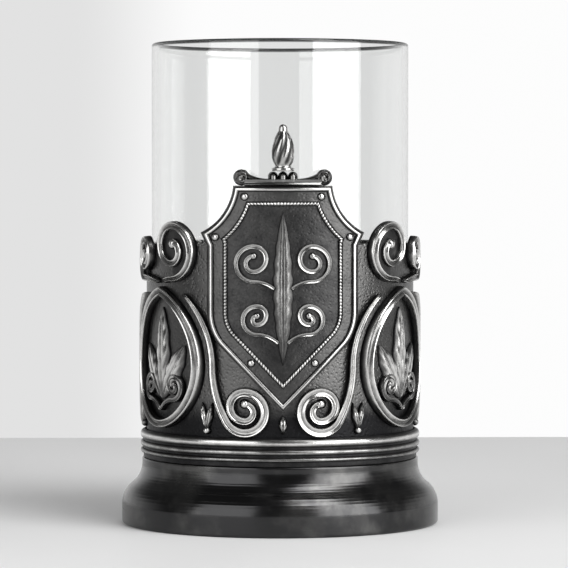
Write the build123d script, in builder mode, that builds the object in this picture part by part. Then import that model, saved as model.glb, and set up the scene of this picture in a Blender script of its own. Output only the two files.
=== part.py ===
"""Tea glass in its footed metal holder, with a shield on the front and a loop handle behind.

Millimetres. The axis of the glass is +Z, the holder stands on z = 0, and the shield faces -Y.
Places on the round wall are given as an azimuth in degrees, counted from the shield towards +X,
and as a height above the collar.
"""

import os
from math import asin, cos, degrees, hypot, radians, sin, sqrt

from build123d import *

# Tea glass
GLASS_R = 34.0
GLASS_WALL = 1.5
GLASS_FLOOR = 5.0
GLASS_HEIGHT = 105.0
GLASS_HEEL_R = 3.0

# Fits between the pieces
GLASS_PLAY = 0.4
SOLDER_GAP = 0.05
PLATE_PLAY = 0.1
RIVET_PLAY = 0.05
FINIAL_CLEARANCE = 0.4
ORNAMENT_GAP = 0.9

# Foot
FOOT_FLARE = 5.4
FOOT_HEIGHT = 17.5
FOOT_WALL = 2.0
FOOT_RIM_HEIGHT = 5.0
FOOT_EDGE_R = 0.8
NECK_LIP = 0.35
NECK_HEIGHT = 0.4
FLANGE_THICK = 1.0
FLANGE_WIDTH = 6.0
BASE_PLATE_THICK = 1.5

# Seat that carries the glass
SEAT_RISE = 4.5
SEAT_THICK = 1.2

# Wall sleeve and the collar round its lower end
SLEEVE_WALL = 1.0
SLEEVE_ABOVE_SEAT = 52.5
COLLAR_HEIGHT = 7.5
COLLAR_WALL = 0.8
BEAD_RISE = 0.8
BEAD_GAP = 0.5
UPPER_BEAD_DROP = 0.2
UPPER_BEAD_WIDTH = 2.2
MIDDLE_BEAD_WIDTH = 1.6
LOWER_BEAD_WIDTH = 1.2

# Relief on the wall
PLATE_THICK = 1.2
MOULDING_RISE = 0.8
SPRAY_RISE = 0.9
FRAME_RISE = 2.0
SCROLL_RISE = 1.9
LEAF_RISE = 1.4
RIBBON = 2.2

# Shield: half angles, and heights that stack up from its tip
SHIELD_TOP_DEG = 20.9
SHIELD_SIDE_DEG = 33.2
SHIELD_EAR_DEG = 3.1
SHIELD_BEND_DEG = 5.7
SHIELD_TIP_H = 6.7
SHIELD_POINT_HEIGHT = 16.9
SHIELD_BEND_HEIGHT = 8.4
SHIELD_SIDE_HEIGHT = 17.0
SHIELD_EAR_HEIGHT = 3.4
SHIELD_SCOOP_HEIGHT = 12.0
SHIELD_SCOOP_DEPTH = 1.9
OUTER_MOULDING_INSET = 0.2
OUTER_MOULDING_WIDTH = 1.4
BORDER_WIDTH = 2.4
INNER_MOULDING_WIDTH = 1.2
TIP_LEAF_WIDTH = 2.4

# Scroll spray on the shield
SPRAY_BASE_H = 18.5
SPRAY_LEAF_WIDTH = 5.6
SPRAY_UPPER_H = 40.0
SPRAY_LOWER_H = 26.5
SPRAY_LOWER_R = 3.6
SPRAY_STEP = 1.25
SPRAY_RIBBON = 1.5
SPRAY_LEAF_GAP = 0.8
SPRAY_CLEARANCE = 1.4

# Rivets
RIVET_HEAD_R = 1.05
RIVET_HEAD_RISE = 0.9
RIVET_HEAD_ROUND = 0.5
RIVET_SHANK_R = 0.6

# Scroll-ended bar and bud finial on top of the shield
CREST_BAR_HEIGHT = 1.8
CREST_BAR_RISE = 1.4
CREST_SCROLL_R = 2.1
CREST_BLOCK_WIDTH = 7.6
CREST_BLOCK_HEIGHT = 3.6
FINIAL_R = 2.95
FINIAL_FLANGE_HEIGHT = 0.9
FINIAL_NECK_R = 1.9
FINIAL_TOP_R = 1.0
FINIAL_BUD_HEIGHT = 9.4
FINIAL_BELLY_HEIGHT = 3.1
FINIAL_TIP_R = 1.15

# Medallions on the two sides
MEDALLION_HALF_WIDTH = 15.2
MEDALLION_BOTTOM_H = 1.4
MEDALLION_LOWER_HEIGHT = 16.6
MEDALLION_UPPER_HEIGHT = 20.3
FRAME_WIDTH = 2.4
PALMETTE_LIFT = 7.6
PALMETTE_LEAF_WIDTH = 6.8
PALMETTE_LEAN_DEG = 33.0
PALMETTE_CURL_R = 3.0
PALMETTE_CURL_STEP = 0.95
PALMETTE_CURL_RUN = 5.6
PALMETTE_RIBBON = 1.4
PALMETTE_CLEARANCE = 1.4
PALMETTE_TIP_CLEARANCE = 3.0

# Volutes above the medallions
VOLUTE_R = 8.0
VOLUTE_STEP = 2.0
REAR_VOLUTE_R = 6.0
REAR_VOLUTE_STEP = 1.5
VOLUTE_EYE_R = 1.5
VOLUTE_BACK_THICK = 0.8
VOLUTE_LEAD_DROP = 0.8

# Long scrolls beside the shield, each with a curl at its lower end
CURL_DEG = 16.1
CURL_R = 5.2
CURL_STEP = 1.5
CURL_EYE_R = 1.3
CURL_FOOT_GAP = 0.2
CURL_ENTRY_R = 5.4
CURL_ENTRY_DEG = 65.0
SCROLL_TOP_DROP = 1.8

# Small pointed leaves between the scrolls and the medallions
DART_H = 0.6
DART_LENGTH = 7.4
DART_WIDTH = 2.0
DART_LEAN_DEG = 12.0
DART_HUB_R = 1.0

# Handle behind
HANDLE_PLATE_DEG = 24.0
HANDLE_PLATE_BOTTOM_H = 3.0
HANDLE_PLATE_TIP = 5.0
HANDLE_PLATE_HEIGHT = 44.5
HANDLE_UPPER_DROP = 4.0
HANDLE_LOWER_RISE = 6.0
HANDLE_BELLY_DROP = 16.5
HANDLE_ELBOW_REACH = 26.5
HANDLE_BELLY_REACH = 29.0
HANDLE_HEEL_REACH = 17.0
HANDLE_ELBOW_R = 8.0
HANDLE_BELLY_R = 16.0
HANDLE_HEEL_R = 9.0
STRAP_WIDTH = 10.0
STRAP_THICK = 3.6
STRAP_ROUND = 1.2
THUMB_START = 9.0
THUMB_LENGTH = 21.0
THUMB_LIFT = 6.5
THUMB_THICK = 1.4
THUMB_WIDTH = 9.0
HANDLE_RIVET_INSET = 4.0

# Radii and heights that follow from the sizes above
SLEEVE_INNER_R = GLASS_R + GLASS_PLAY
SLEEVE_OUTER_R = SLEEVE_INNER_R + SLEEVE_WALL
RELIEF_INNER_R = SLEEVE_OUTER_R + SOLDER_GAP
COLLAR_OUTER_R = RELIEF_INNER_R + COLLAR_WALL
NECK_R = COLLAR_OUTER_R + NECK_LIP
FOOT_R = NECK_R + FOOT_FLARE
PLATE_R = RELIEF_INNER_R + PLATE_THICK
SEAT_Z = FOOT_HEIGHT + SEAT_RISE
RIM_Z = SEAT_Z + GLASS_HEIGHT
SLEEVE_HEIGHT = SEAT_RISE + SLEEVE_ABOVE_SEAT
SLEEVE_TOP_Z = FOOT_HEIGHT + SLEEVE_HEIGHT
COLLAR_TOP_Z = FOOT_HEIGHT + COLLAR_HEIGHT
FIELD_INSET = OUTER_MOULDING_INSET + OUTER_MOULDING_WIDTH + BORDER_WIDTH
RIVET_INSET = FIELD_INSET - BORDER_WIDTH / 2
SHIELD_BEND_H = SHIELD_TIP_H + SHIELD_POINT_HEIGHT
SHIELD_SIDE_H = SHIELD_BEND_H + SHIELD_BEND_HEIGHT
SHIELD_EAR_H = SHIELD_SIDE_H + SHIELD_SIDE_HEIGHT
SHIELD_SHOULDER_H = SHIELD_EAR_H + SHIELD_EAR_HEIGHT
SHIELD_TOP_H = SHIELD_SHOULDER_H + SHIELD_SCOOP_HEIGHT
MEDALLION_WAIST_H = MEDALLION_BOTTOM_H + MEDALLION_LOWER_HEIGHT
MEDALLION_TOP_H = MEDALLION_WAIST_H + MEDALLION_UPPER_HEIGHT
VOLUTE_BOTTOM_H = MEDALLION_TOP_H + ORNAMENT_GAP
SCROLL_TOP_H = MEDALLION_TOP_H - SCROLL_TOP_DROP
HANDLE_PLATE_TOP_H = HANDLE_PLATE_BOTTOM_H + HANDLE_PLATE_HEIGHT
HANDLE_UPPER_H = HANDLE_PLATE_TOP_H - HANDLE_UPPER_DROP
HANDLE_LOWER_H = HANDLE_PLATE_BOTTOM_H + HANDLE_LOWER_RISE
FRONT = 0.0
BACK = 180.0
LEFT = -1
RIGHT = 1
UPRIGHT = (Align.CENTER, Align.CENTER, Align.MIN)


def span(width, radius=RELIEF_INNER_R):
    """Angle in degrees that a width takes up on a round wall, seen from straight in front."""
    return degrees(asin(width / radius))


def across(azimuth):
    """Sideways distance of an azimuth on the wall, seen from straight in front."""
    return RELIEF_INNER_R * sin(radians(azimuth))


def up(height):
    """Height above the table of a height above the collar."""
    return COLLAR_TOP_Z + height


def wall_plane(azimuth, radius=0.0):
    """Upright plane facing out at an azimuth: its x runs round the wall and its y runs up."""
    turn = radians(azimuth)
    outward = Vector(sin(turn), -cos(turn), 0)
    return Plane(origin=outward * radius, x_dir=(cos(turn), sin(turn), 0), z_dir=outward)


# Ornaments follow one another round the wall: shield, long scroll, medallion, and volutes above
SHIELD_SHOULDER_DEG = SHIELD_SIDE_DEG + SHIELD_EAR_DEG
SHIELD_LOWER_DEG = SHIELD_SIDE_DEG - SHIELD_BEND_DEG
SCROLL_WAIST_DEG = SHIELD_LOWER_DEG + span(ORNAMENT_GAP + RIBBON / 2)
MEDALLION_DEG = SCROLL_WAIST_DEG + span(ORNAMENT_GAP + RIBBON / 2) + span(MEDALLION_HALF_WIDTH)
FRONT_VOLUTE_DEG = SHIELD_SHOULDER_DEG + span(ORNAMENT_GAP) + span(VOLUTE_R)
REAR_VOLUTE_DEG = FRONT_VOLUTE_DEG + span(VOLUTE_R) + span(ORNAMENT_GAP) + span(REAR_VOLUTE_R)


def wall_ring(inner_r, outer_r):
    """Full ring between two radii, from which a piece of the wall's relief is then cut out."""
    Cylinder(outer_r, RIM_Z, align=UPRIGHT)
    Cylinder(inner_r, RIM_Z, align=UPRIGHT, mode=Mode.SUBTRACT)


def write(builder, label):
    """Names a finished piece and writes it to a file of that name."""
    builder.part.label = label
    export_step(builder.part, f"parts/{label}.step")


os.makedirs("parts", exist_ok=True)

# Foot: a spun bell that flares from the neck to the rim, with a flange at its top
ogee_top_z = FOOT_HEIGHT - FLANGE_THICK - NECK_HEIGHT
ogee_mid = ((NECK_R + FOOT_R) / 2, (ogee_top_z + FOOT_RIM_HEIGHT) / 2)
inner_mid = (ogee_mid[0] - FOOT_WALL, ogee_mid[1])
inner_foot_r = FOOT_R - FOOT_WALL
inner_neck_r = NECK_R - FOOT_WALL
flange_r = NECK_R - FLANGE_WIDTH
with BuildPart() as foot_skirt:
    with BuildSketch(Plane.XZ):
        with BuildLine():
            Polyline((flange_r, FOOT_HEIGHT), (NECK_R, FOOT_HEIGHT), (NECK_R, ogee_top_z))
            upper_curve = TangentArc((NECK_R, ogee_top_z), ogee_mid, tangent=(0, -1))
            TangentArc(ogee_mid, (FOOT_R, FOOT_RIM_HEIGHT), tangent=upper_curve % 1)
            Line((FOOT_R, FOOT_RIM_HEIGHT), (FOOT_R, FOOT_EDGE_R))
            TangentArc((FOOT_R, FOOT_EDGE_R), (FOOT_R - FOOT_EDGE_R, 0), tangent=(0, -1))
            Polyline((FOOT_R - FOOT_EDGE_R, 0), (inner_foot_r, 0), (inner_foot_r, FOOT_RIM_HEIGHT))
            inner_curve = TangentArc((inner_foot_r, FOOT_RIM_HEIGHT), inner_mid, tangent=(0, 1))
            TangentArc(inner_mid, (inner_neck_r, ogee_top_z), tangent=inner_curve % 1)
            Polyline(
                (inner_neck_r, ogee_top_z),
                (inner_neck_r, FOOT_HEIGHT - FLANGE_THICK),
                (flange_r, FOOT_HEIGHT - FLANGE_THICK),
                (flange_r, FOOT_HEIGHT),
            )
        make_face()
    revolve(axis=Axis.Z)
write(foot_skirt, "foot_skirt")

# Base plate: a disc pressed into the foot from below, flush with its rim
with BuildPart() as foot_base_plate:
    Cylinder(FOOT_R - FOOT_WALL - PLATE_PLAY, BASE_PLATE_THICK, align=UPRIGHT)
write(foot_base_plate, "foot_base_plate")

# Seat cup: a shallow upturned cup on the foot's flange, whose top carries the glass
cup_r = SLEEVE_INNER_R - PLATE_PLAY
with BuildPart() as seat_cup:
    with Locations((0, 0, FOOT_HEIGHT)):
        Cylinder(cup_r, SEAT_RISE, align=UPRIGHT)
        Cylinder(cup_r - SEAT_THICK, SEAT_RISE - SEAT_THICK, align=UPRIGHT, mode=Mode.SUBTRACT)
write(seat_cup, "seat_cup")

# Collar: a plain band round the lower end of the sleeve, with three half-round wires on it
with BuildPart() as collar_band:
    with Locations((0, 0, FOOT_HEIGHT)):
        Cylinder(COLLAR_OUTER_R, COLLAR_HEIGHT, align=UPRIGHT)
        Cylinder(RELIEF_INNER_R, COLLAR_HEIGHT, align=UPRIGHT, mode=Mode.SUBTRACT)
write(collar_band, "collar_band")


def make_bead(label, top_z, width):
    """Half-round wire soldered round the collar, hanging down from a height."""
    with BuildPart() as bead:
        with BuildSketch(Plane.XZ):
            with BuildLine():
                ThreePointArc(
                    (COLLAR_OUTER_R, top_z - width),
                    (COLLAR_OUTER_R + BEAD_RISE, top_z - width / 2),
                    (COLLAR_OUTER_R, top_z),
                )
                Line((COLLAR_OUTER_R, top_z), (COLLAR_OUTER_R, top_z - width))
            make_face()
        revolve(axis=Axis.Z)
    write(bead, label)


upper_bead_z = COLLAR_TOP_Z - UPPER_BEAD_DROP
middle_bead_z = upper_bead_z - UPPER_BEAD_WIDTH - BEAD_GAP
lower_bead_z = middle_bead_z - MIDDLE_BEAD_WIDTH - BEAD_GAP
make_bead("collar_upper_bead", upper_bead_z, UPPER_BEAD_WIDTH)
make_bead("collar_middle_bead", middle_bead_z, MIDDLE_BEAD_WIDTH)
make_bead("collar_lower_bead", lower_bead_z, LOWER_BEAD_WIDTH)

# Shield outline: scooped upper corners with small ears, straight sides and a pointed foot
shield_top = (across(SHIELD_TOP_DEG), up(SHIELD_TOP_H))
shield_shoulder = (across(SHIELD_SHOULDER_DEG), up(SHIELD_SHOULDER_H))
shield_ear = (across(SHIELD_SIDE_DEG), up(SHIELD_EAR_H))
shield_side = (across(SHIELD_SIDE_DEG), up(SHIELD_SIDE_H))
shield_bend = (across(SHIELD_LOWER_DEG), up(SHIELD_BEND_H))
with BuildSketch() as shield_outline:
    with BuildLine():
        Line((0, up(SHIELD_TOP_H)), shield_top)
        SagittaArc(shield_top, shield_shoulder, -SHIELD_SCOOP_DEPTH)
        Polyline(shield_shoulder, shield_ear, shield_side)
        TangentArc(shield_side, shield_bend, tangent=(0, -1))
        Line(shield_bend, (0, up(SHIELD_TIP_H)))
        mirror(about=Plane.YZ)
    make_face()


def inset_shield(inset):
    """The shield's outline drawn in all round by an inset."""
    return offset(shield_outline.sketch, amount=-inset, kind=Kind.INTERSECTION, mode=Mode.PRIVATE)


# Rivet places, as azimuth and height: in the shield's border, with one in the corner of each shoulder,
# and near the handle plate's corners
point_slope = SHIELD_POINT_HEIGHT / across(SHIELD_LOWER_DEG)
low_run = across(SHIELD_LOWER_DEG) / 2
low_h = SHIELD_TIP_H + point_slope * low_run + RIVET_INSET * hypot(1, point_slope)
top_run = across(SHIELD_TOP_DEG) - RIVET_INSET
shoulder_corner = inset_shield(RIVET_INSET).vertices().sort_by(Axis.X)[-1]
shield_rivet_places = [
    (side * span(run, PLATE_R), height)
    for run, height in (
        (top_run, SHIELD_TOP_H - RIVET_INSET),
        (shoulder_corner.X, shoulder_corner.Y - COLLAR_TOP_Z),
        (low_run, low_h),
    )
    for side in (LEFT, RIGHT)
]
handle_rivet_deg = span(across(HANDLE_PLATE_DEG) - HANDLE_RIVET_INSET, PLATE_R)
handle_rivet_places = [
    (BACK + side * handle_rivet_deg, height)
    for height in (
        HANDLE_PLATE_BOTTOM_H + HANDLE_PLATE_TIP + HANDLE_RIVET_INSET,
        HANDLE_PLATE_TOP_H - HANDLE_RIVET_INSET,
    )
    for side in (LEFT, RIGHT)
]


def passes_sleeve(height):
    """Whether a rivet at this height is low enough to pass through the sleeve."""
    return up(height) + RIVET_HEAD_R < SLEEVE_TOP_Z


def drill(places):
    """Cuts a rivet hole at each place, from the axis outwards, in the part being built."""
    for azimuth, height in places:
        with Locations(wall_plane(azimuth).location * Location((0, up(height), 0))):
            Cylinder(RIVET_SHANK_R + RIVET_PLAY, FOOT_R, align=UPRIGHT, mode=Mode.SUBTRACT)


def make_rivet(shank_length):
    """One button-headed rivet: its head lies above the XY plane and its shank hangs below it."""
    with BuildPart() as rivet:
        Cylinder(RIVET_HEAD_R, RIVET_HEAD_RISE, align=UPRIGHT)
        fillet(rivet.edges().group_by(Axis.Z)[-1], RIVET_HEAD_ROUND)
        with Locations((0, 0, -shank_length)):
            Cylinder(RIVET_SHANK_R, shank_length, align=UPRIGHT)
    return rivet.part


# Wall sleeve: the sheet cylinder that holds the glass
with BuildPart() as wall_sleeve:
    with Locations((0, 0, FOOT_HEIGHT)):
        Cylinder(SLEEVE_OUTER_R, SLEEVE_HEIGHT, align=UPRIGHT)
        Cylinder(SLEEVE_INNER_R, SLEEVE_HEIGHT, align=UPRIGHT, mode=Mode.SUBTRACT)
    drill([place for place in shield_rivet_places + handle_rivet_places if passes_sleeve(place[1])])
write(wall_sleeve, "wall_sleeve")


# Rivets: through plate and sleeve where the sleeve is behind, and elsewhere through the plate alone
long_rivet = make_rivet(PLATE_R - SLEEVE_INNER_R)
short_rivet = make_rivet(PLATE_THICK)


def make_rivets(label, places):
    """A group of rivets with their heads on the outer face of a plate."""
    with BuildPart() as rivets:
        for azimuth, height in places:
            with Locations(wall_plane(azimuth, PLATE_R).location * Location((0, up(height), 0))):
                add(long_rivet if passes_sleeve(height) else short_rivet)
    write(rivets, label)


make_rivets("shield_rivets", shield_rivet_places)
make_rivets("handle_rivets", handle_rivet_places)

# Shield plate: curved to the wall and standing above it
with BuildPart() as shield_plate:
    wall_ring(RELIEF_INNER_R, PLATE_R)
    with BuildSketch(wall_plane(FRONT)):
        add(shield_outline.sketch)
    extrude(amount=FOOT_R, mode=Mode.INTERSECT)
    drill(shield_rivet_places)
write(shield_plate, "shield_plate")


def make_shield_moulding(label, inset, width):
    """Raised border that runs all round the shield at a constant inset from its edge."""
    with BuildPart() as moulding:
        wall_ring(PLATE_R, PLATE_R + MOULDING_RISE)
        with BuildSketch(wall_plane(FRONT)):
            add(inset_shield(inset))
            add(inset_shield(inset + width), mode=Mode.SUBTRACT)
        extrude(amount=FOOT_R, mode=Mode.INTERSECT)
    write(moulding, label)


make_shield_moulding("shield_outer_moulding", OUTER_MOULDING_INSET, OUTER_MOULDING_WIDTH)
make_shield_moulding("shield_inner_moulding", FIELD_INSET, INNER_MOULDING_WIDTH)


def leaf_face(length, width):
    """Pointed leaf from the origin up the y axis, bounded by two arcs."""
    with BuildSketch() as leaf:
        with BuildLine():
            ThreePointArc((0, 0), (width / 2, length / 2), (0, length))
            ThreePointArc((0, length), (-width / 2, length / 2), (0, 0))
        make_face()
    return leaf.sketch


def reach(lean, side_reach, end_reach):
    """Distance from the middle to the edge of an ellipse, in a direction that leans off its long axis."""
    return 1 / hypot(sin(radians(lean)) / side_reach, cos(radians(lean)) / end_reach)


def half_turns(start, radius, step, side):
    """Three half circles that wind upwards and inwards from a point, the first on the given side."""
    arcs = []
    x, y = start
    rise = 1
    for turn in range(3):
        turn_r = radius - turn * step
        end = (x, y + rise * 2 * turn_r)
        arcs.append(ThreePointArc((x, y), (x + side * turn_r, y + rise * turn_r), end, mode=Mode.PRIVATE))
        x, y = end
        rise, side = -rise, -side
    return arcs


def branch(run, height, radius, step, side):
    """Stalk that leaves the middle line and winds up into a curl, a run to one side of it."""
    start = (side * run, up(height))
    stalk = TangentArc(start, (0, up(height) - radius), tangent=(-side, 0), mode=Mode.PRIVATE)
    return [stalk, *half_turns(start, radius, step, side)]


# Scroll spray on the shield's field: a tall leaf with two pairs of curls that grow out of it.
# The upper curls fill the room between the leaf and the inner moulding.
field_inset = FIELD_INSET + INNER_MOULDING_WIDTH + SPRAY_CLEARANCE
spray_length = SHIELD_TOP_H - field_inset - SPRAY_BASE_H
inner_run = SPRAY_LEAF_WIDTH / 2 + SPRAY_LEAF_GAP + SPRAY_RIBBON / 2
outer_run = across(SHIELD_SIDE_DEG) - field_inset - SPRAY_RIBBON / 2
upper_curl_r = (outer_run - inner_run + SPRAY_STEP) / 2
spray_arcs = []
for height, curl_r in ((SPRAY_UPPER_H, upper_curl_r), (SPRAY_LOWER_H, SPRAY_LOWER_R)):
    curl_run = inner_run + curl_r - SPRAY_STEP
    for side in (LEFT, RIGHT):
        spray_arcs += branch(curl_run, height, curl_r, SPRAY_STEP, side)
with BuildPart() as shield_spray:
    wall_ring(PLATE_R, PLATE_R + SPRAY_RISE)
    with BuildSketch(wall_plane(FRONT)):
        with Locations((0, up(SPRAY_BASE_H))):
            add(leaf_face(spray_length, SPRAY_LEAF_WIDTH))
        for arc in spray_arcs:
            SlotArc(arc, SPRAY_RIBBON)
    extrude(amount=FOOT_R, mode=Mode.INTERSECT)
write(shield_spray, "shield_spray")

# Small leaf that hangs on the wall under the shield's tip
tip_leaf_length = SHIELD_TIP_H - 2 * ORNAMENT_GAP
with BuildPart() as shield_tip_leaf:
    wall_ring(RELIEF_INNER_R, RELIEF_INNER_R + LEAF_RISE)
    with BuildSketch(wall_plane(FRONT)):
        with Locations((0, up(ORNAMENT_GAP))):
            add(leaf_face(tip_leaf_length, TIP_LEAF_WIDTH))
    extrude(amount=FOOT_R, mode=Mode.INTERSECT)
write(shield_tip_leaf, "shield_tip_leaf")

# Crest bar: along the shield's top edge, with a rolled scroll at each end and a block in the middle;
# from the block the bar's top sweeps up in a hollow curve to the top of each scroll
bar_half = across(SHIELD_TOP_DEG) - CREST_SCROLL_R
bar_top_z = up(SHIELD_TOP_H) + CREST_BAR_HEIGHT
scroll_top = (bar_half, up(SHIELD_TOP_H) + 2 * CREST_SCROLL_R)
sweep_end = (CREST_BLOCK_WIDTH / 2, bar_top_z)
with BuildPart() as crest_bar:
    wall_ring(RELIEF_INNER_R, PLATE_R + CREST_BAR_RISE)
    with BuildSketch(wall_plane(FRONT)):
        with Locations((0, up(SHIELD_TOP_H))):
            Rectangle(2 * bar_half, CREST_BAR_HEIGHT, align=(Align.CENTER, Align.MIN))
            Rectangle(CREST_BLOCK_WIDTH, CREST_BLOCK_HEIGHT, align=(Align.CENTER, Align.MIN))
        with Locations((0, up(SHIELD_TOP_H) + CREST_SCROLL_R)):
            with GridLocations(2 * bar_half, 0, 2, 1):
                Circle(CREST_SCROLL_R)
        with BuildLine():
            TangentArc(sweep_end, scroll_top, tangent=(1, 0))
            Polyline(scroll_top, (bar_half, bar_top_z), sweep_end)
        crest_sweep = make_face()
        mirror(crest_sweep, about=Plane.YZ)
    extrude(amount=FOOT_R, mode=Mode.INTERSECT)
write(crest_bar, "crest_bar")

# Finial: a bud on a flange with a small ball on its tip, standing on the bar in front of the glass
finial_axis_r = GLASS_R + FINIAL_CLEARANCE + FINIAL_R
finial_z = up(SHIELD_TOP_H) + CREST_BLOCK_HEIGHT
bud_z = finial_z + FINIAL_FLANGE_HEIGHT
bud_top_z = bud_z + FINIAL_BUD_HEIGHT
with BuildPart() as crest_finial:
    with BuildSketch(Plane.XZ.offset(finial_axis_r)):
        with BuildLine():
            Polyline((0, finial_z), (FINIAL_R, finial_z), (FINIAL_R, bud_z), (FINIAL_NECK_R, bud_z))
            ThreePointArc(
                (FINIAL_NECK_R, bud_z),
                (FINIAL_R, bud_z + FINIAL_BELLY_HEIGHT),
                (FINIAL_TOP_R, bud_top_z),
            )
            Polyline((FINIAL_TOP_R, bud_top_z), (0, bud_top_z), (0, finial_z))
        make_face()
    revolve(axis=Axis((0, -finial_axis_r, 0), (0, 0, 1)))
    with Locations((0, -finial_axis_r, bud_top_z + FINIAL_TIP_R / 2)):
        Sphere(FINIAL_TIP_R)
write(crest_finial, "crest_finial")


# Side ornaments: the rear ones mirror the front ones across the medallion

def make_medallion_frame(label, azimuth):
    """Egg-shaped frame, widest at its waist and drawn to a point above."""
    waist = (MEDALLION_HALF_WIDTH, up(MEDALLION_WAIST_H))
    with BuildPart() as frame:
        wall_ring(RELIEF_INNER_R, RELIEF_INNER_R + FRAME_RISE)
        with BuildSketch(wall_plane(azimuth)):
            with BuildLine():
                TangentArc(waist, (0, up(MEDALLION_TOP_H)), tangent=(0, 1))
                mirror(about=Plane.YZ)
                ThreePointArc(waist, (0, up(MEDALLION_BOTTOM_H)), (-waist[0], waist[1]))
            egg = make_face()
            add(
                offset(egg, amount=-FRAME_WIDTH, kind=Kind.INTERSECTION, mode=Mode.PRIVATE),
                mode=Mode.SUBTRACT,
            )
        extrude(amount=FOOT_R, mode=Mode.INTERSECT)
    write(frame, label)


def make_palmette(label, azimuth):
    """Three leaves over a pair of curls; the leaf tips lie on an ellipse that fits the frame."""
    base_h = MEDALLION_BOTTOM_H + PALMETTE_LIFT
    side_reach = MEDALLION_HALF_WIDTH - FRAME_WIDTH - PALMETTE_CLEARANCE
    rise = MEDALLION_TOP_H - FRAME_WIDTH - PALMETTE_TIP_CLEARANCE - base_h
    arcs = []
    for side in (LEFT, RIGHT):
        arcs += branch(PALMETTE_CURL_RUN, base_h, PALMETTE_CURL_R, PALMETTE_CURL_STEP, side)
    with BuildPart() as palmette:
        wall_ring(RELIEF_INNER_R, RELIEF_INNER_R + LEAF_RISE)
        with BuildSketch(wall_plane(azimuth)):
            with Locations((0, up(base_h))):
                for lean in (-PALMETTE_LEAN_DEG, 0, PALMETTE_LEAN_DEG):
                    add(leaf_face(reach(lean, side_reach, rise), PALMETTE_LEAF_WIDTH), rotation=lean)
            for arc in arcs:
                SlotArc(arc, PALMETTE_RIBBON)
        extrude(amount=FOOT_R, mode=Mode.INTERSECT)
    write(palmette, label)


def make_volute(label, azimuth, outer_r, step, side):
    """Ribbon that springs from above the medallion's point and is wound inwards, on the given side first,
    to an eye on a thin back plate."""
    start = Vector(0, up(VOLUTE_BOTTOM_H) + RIBBON / 2)
    run = across(abs(abs(azimuth) - MEDALLION_DEG)) - (ORNAMENT_GAP + RIBBON) / 2
    root = start - Vector(side * run, VOLUTE_LEAD_DROP)
    lead = TangentArc(start, root, tangent=(-side, 0), mode=Mode.PRIVATE)
    arcs = half_turns((start.X, start.Y), outer_r - RIBBON / 2, step, side)
    eye = arcs[-1] @ 1 - Vector(0, VOLUTE_EYE_R / 2)
    with BuildPart() as back:
        wall_ring(RELIEF_INNER_R, RELIEF_INNER_R + VOLUTE_BACK_THICK)
        with BuildSketch(wall_plane(azimuth)):
            with BuildLine():
                add(arcs[:2])
                Line(arcs[1] @ 1, start)
            make_face()
        extrude(amount=FOOT_R, mode=Mode.INTERSECT)
    with BuildPart() as volute:
        wall_ring(RELIEF_INNER_R, RELIEF_INNER_R + SCROLL_RISE)
        with BuildSketch(wall_plane(azimuth)):
            for arc in [lead, *arcs]:
                SlotArc(arc, RIBBON)
            with Locations(eye):
                Circle(VOLUTE_EYE_R)
        extrude(amount=FOOT_R, mode=Mode.INTERSECT)
        add(back.part)
    write(volute, label)


def medallion_edge_deg(height, away=0.0):
    """Azimuth, at a height, of the line that runs some way outside the medallion's front edge: one arc
    above its waist, another below."""
    upper_r = (MEDALLION_HALF_WIDTH**2 + MEDALLION_UPPER_HEIGHT**2) / (2 * MEDALLION_HALF_WIDTH)
    lower_r = (MEDALLION_HALF_WIDTH**2 + MEDALLION_LOWER_HEIGHT**2) / (2 * MEDALLION_LOWER_HEIGHT)
    if height > MEDALLION_WAIST_H:
        half = MEDALLION_HALF_WIDTH - upper_r + sqrt((upper_r + away) ** 2 - (height - MEDALLION_WAIST_H) ** 2)
    else:
        half = sqrt((lower_r + away) ** 2 - (MEDALLION_BOTTOM_H + lower_r - height) ** 2)
    return MEDALLION_DEG - span(half)


def make_long_scroll(label, azimuth, side):
    """Ribbon that comes down between shield and medallion and curls inwards at its foot."""
    top_deg = medallion_edge_deg(SCROLL_TOP_H, ORNAMENT_GAP + RIBBON / 2)
    foot = Vector(side * across(CURL_DEG), up(CURL_FOOT_GAP) + RIBBON / 2)
    waist = (side * across(SCROLL_WAIST_DEG), up(MEDALLION_WAIST_H))
    top = (side * across(top_deg), up(SCROLL_TOP_H))
    stem = TangentArc(waist, top, tangent=(0, 1), mode=Mode.PRIVATE)
    entry = JernArc(foot, (side, 0), CURL_ENTRY_R, side * CURL_ENTRY_DEG, mode=Mode.PRIVATE)
    shank = TangentArc(waist, entry @ 1, tangent=(0, -1), mode=Mode.PRIVATE)
    curl = half_turns((foot.X, foot.Y), CURL_R, CURL_STEP, -side)
    with BuildPart() as scroll:
        wall_ring(RELIEF_INNER_R, RELIEF_INNER_R + SCROLL_RISE)
        with BuildSketch(wall_plane(azimuth)):
            for arc in [stem, shank, entry, *curl]:
                SlotArc(arc, RIBBON)
            with Locations(curl[-1] @ 1):
                Circle(CURL_EYE_R)
        extrude(amount=FOOT_R, mode=Mode.INTERSECT)
    write(scroll, label)


def make_darts(label, azimuth):
    """Pair of small pointed leaves that spread from one hub just above the collar."""
    with BuildPart() as darts:
        wall_ring(RELIEF_INNER_R, RELIEF_INNER_R + LEAF_RISE)
        with BuildSketch(wall_plane(azimuth)):
            with Locations((0, up(DART_H) + DART_HUB_R)):
                Circle(DART_HUB_R)
                for lean in (-DART_LEAN_DEG, DART_LEAN_DEG):
                    add(leaf_face(DART_LENGTH, DART_WIDTH), rotation=lean)
        extrude(amount=FOOT_R, mode=Mode.INTERSECT)
    write(darts, label)


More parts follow.
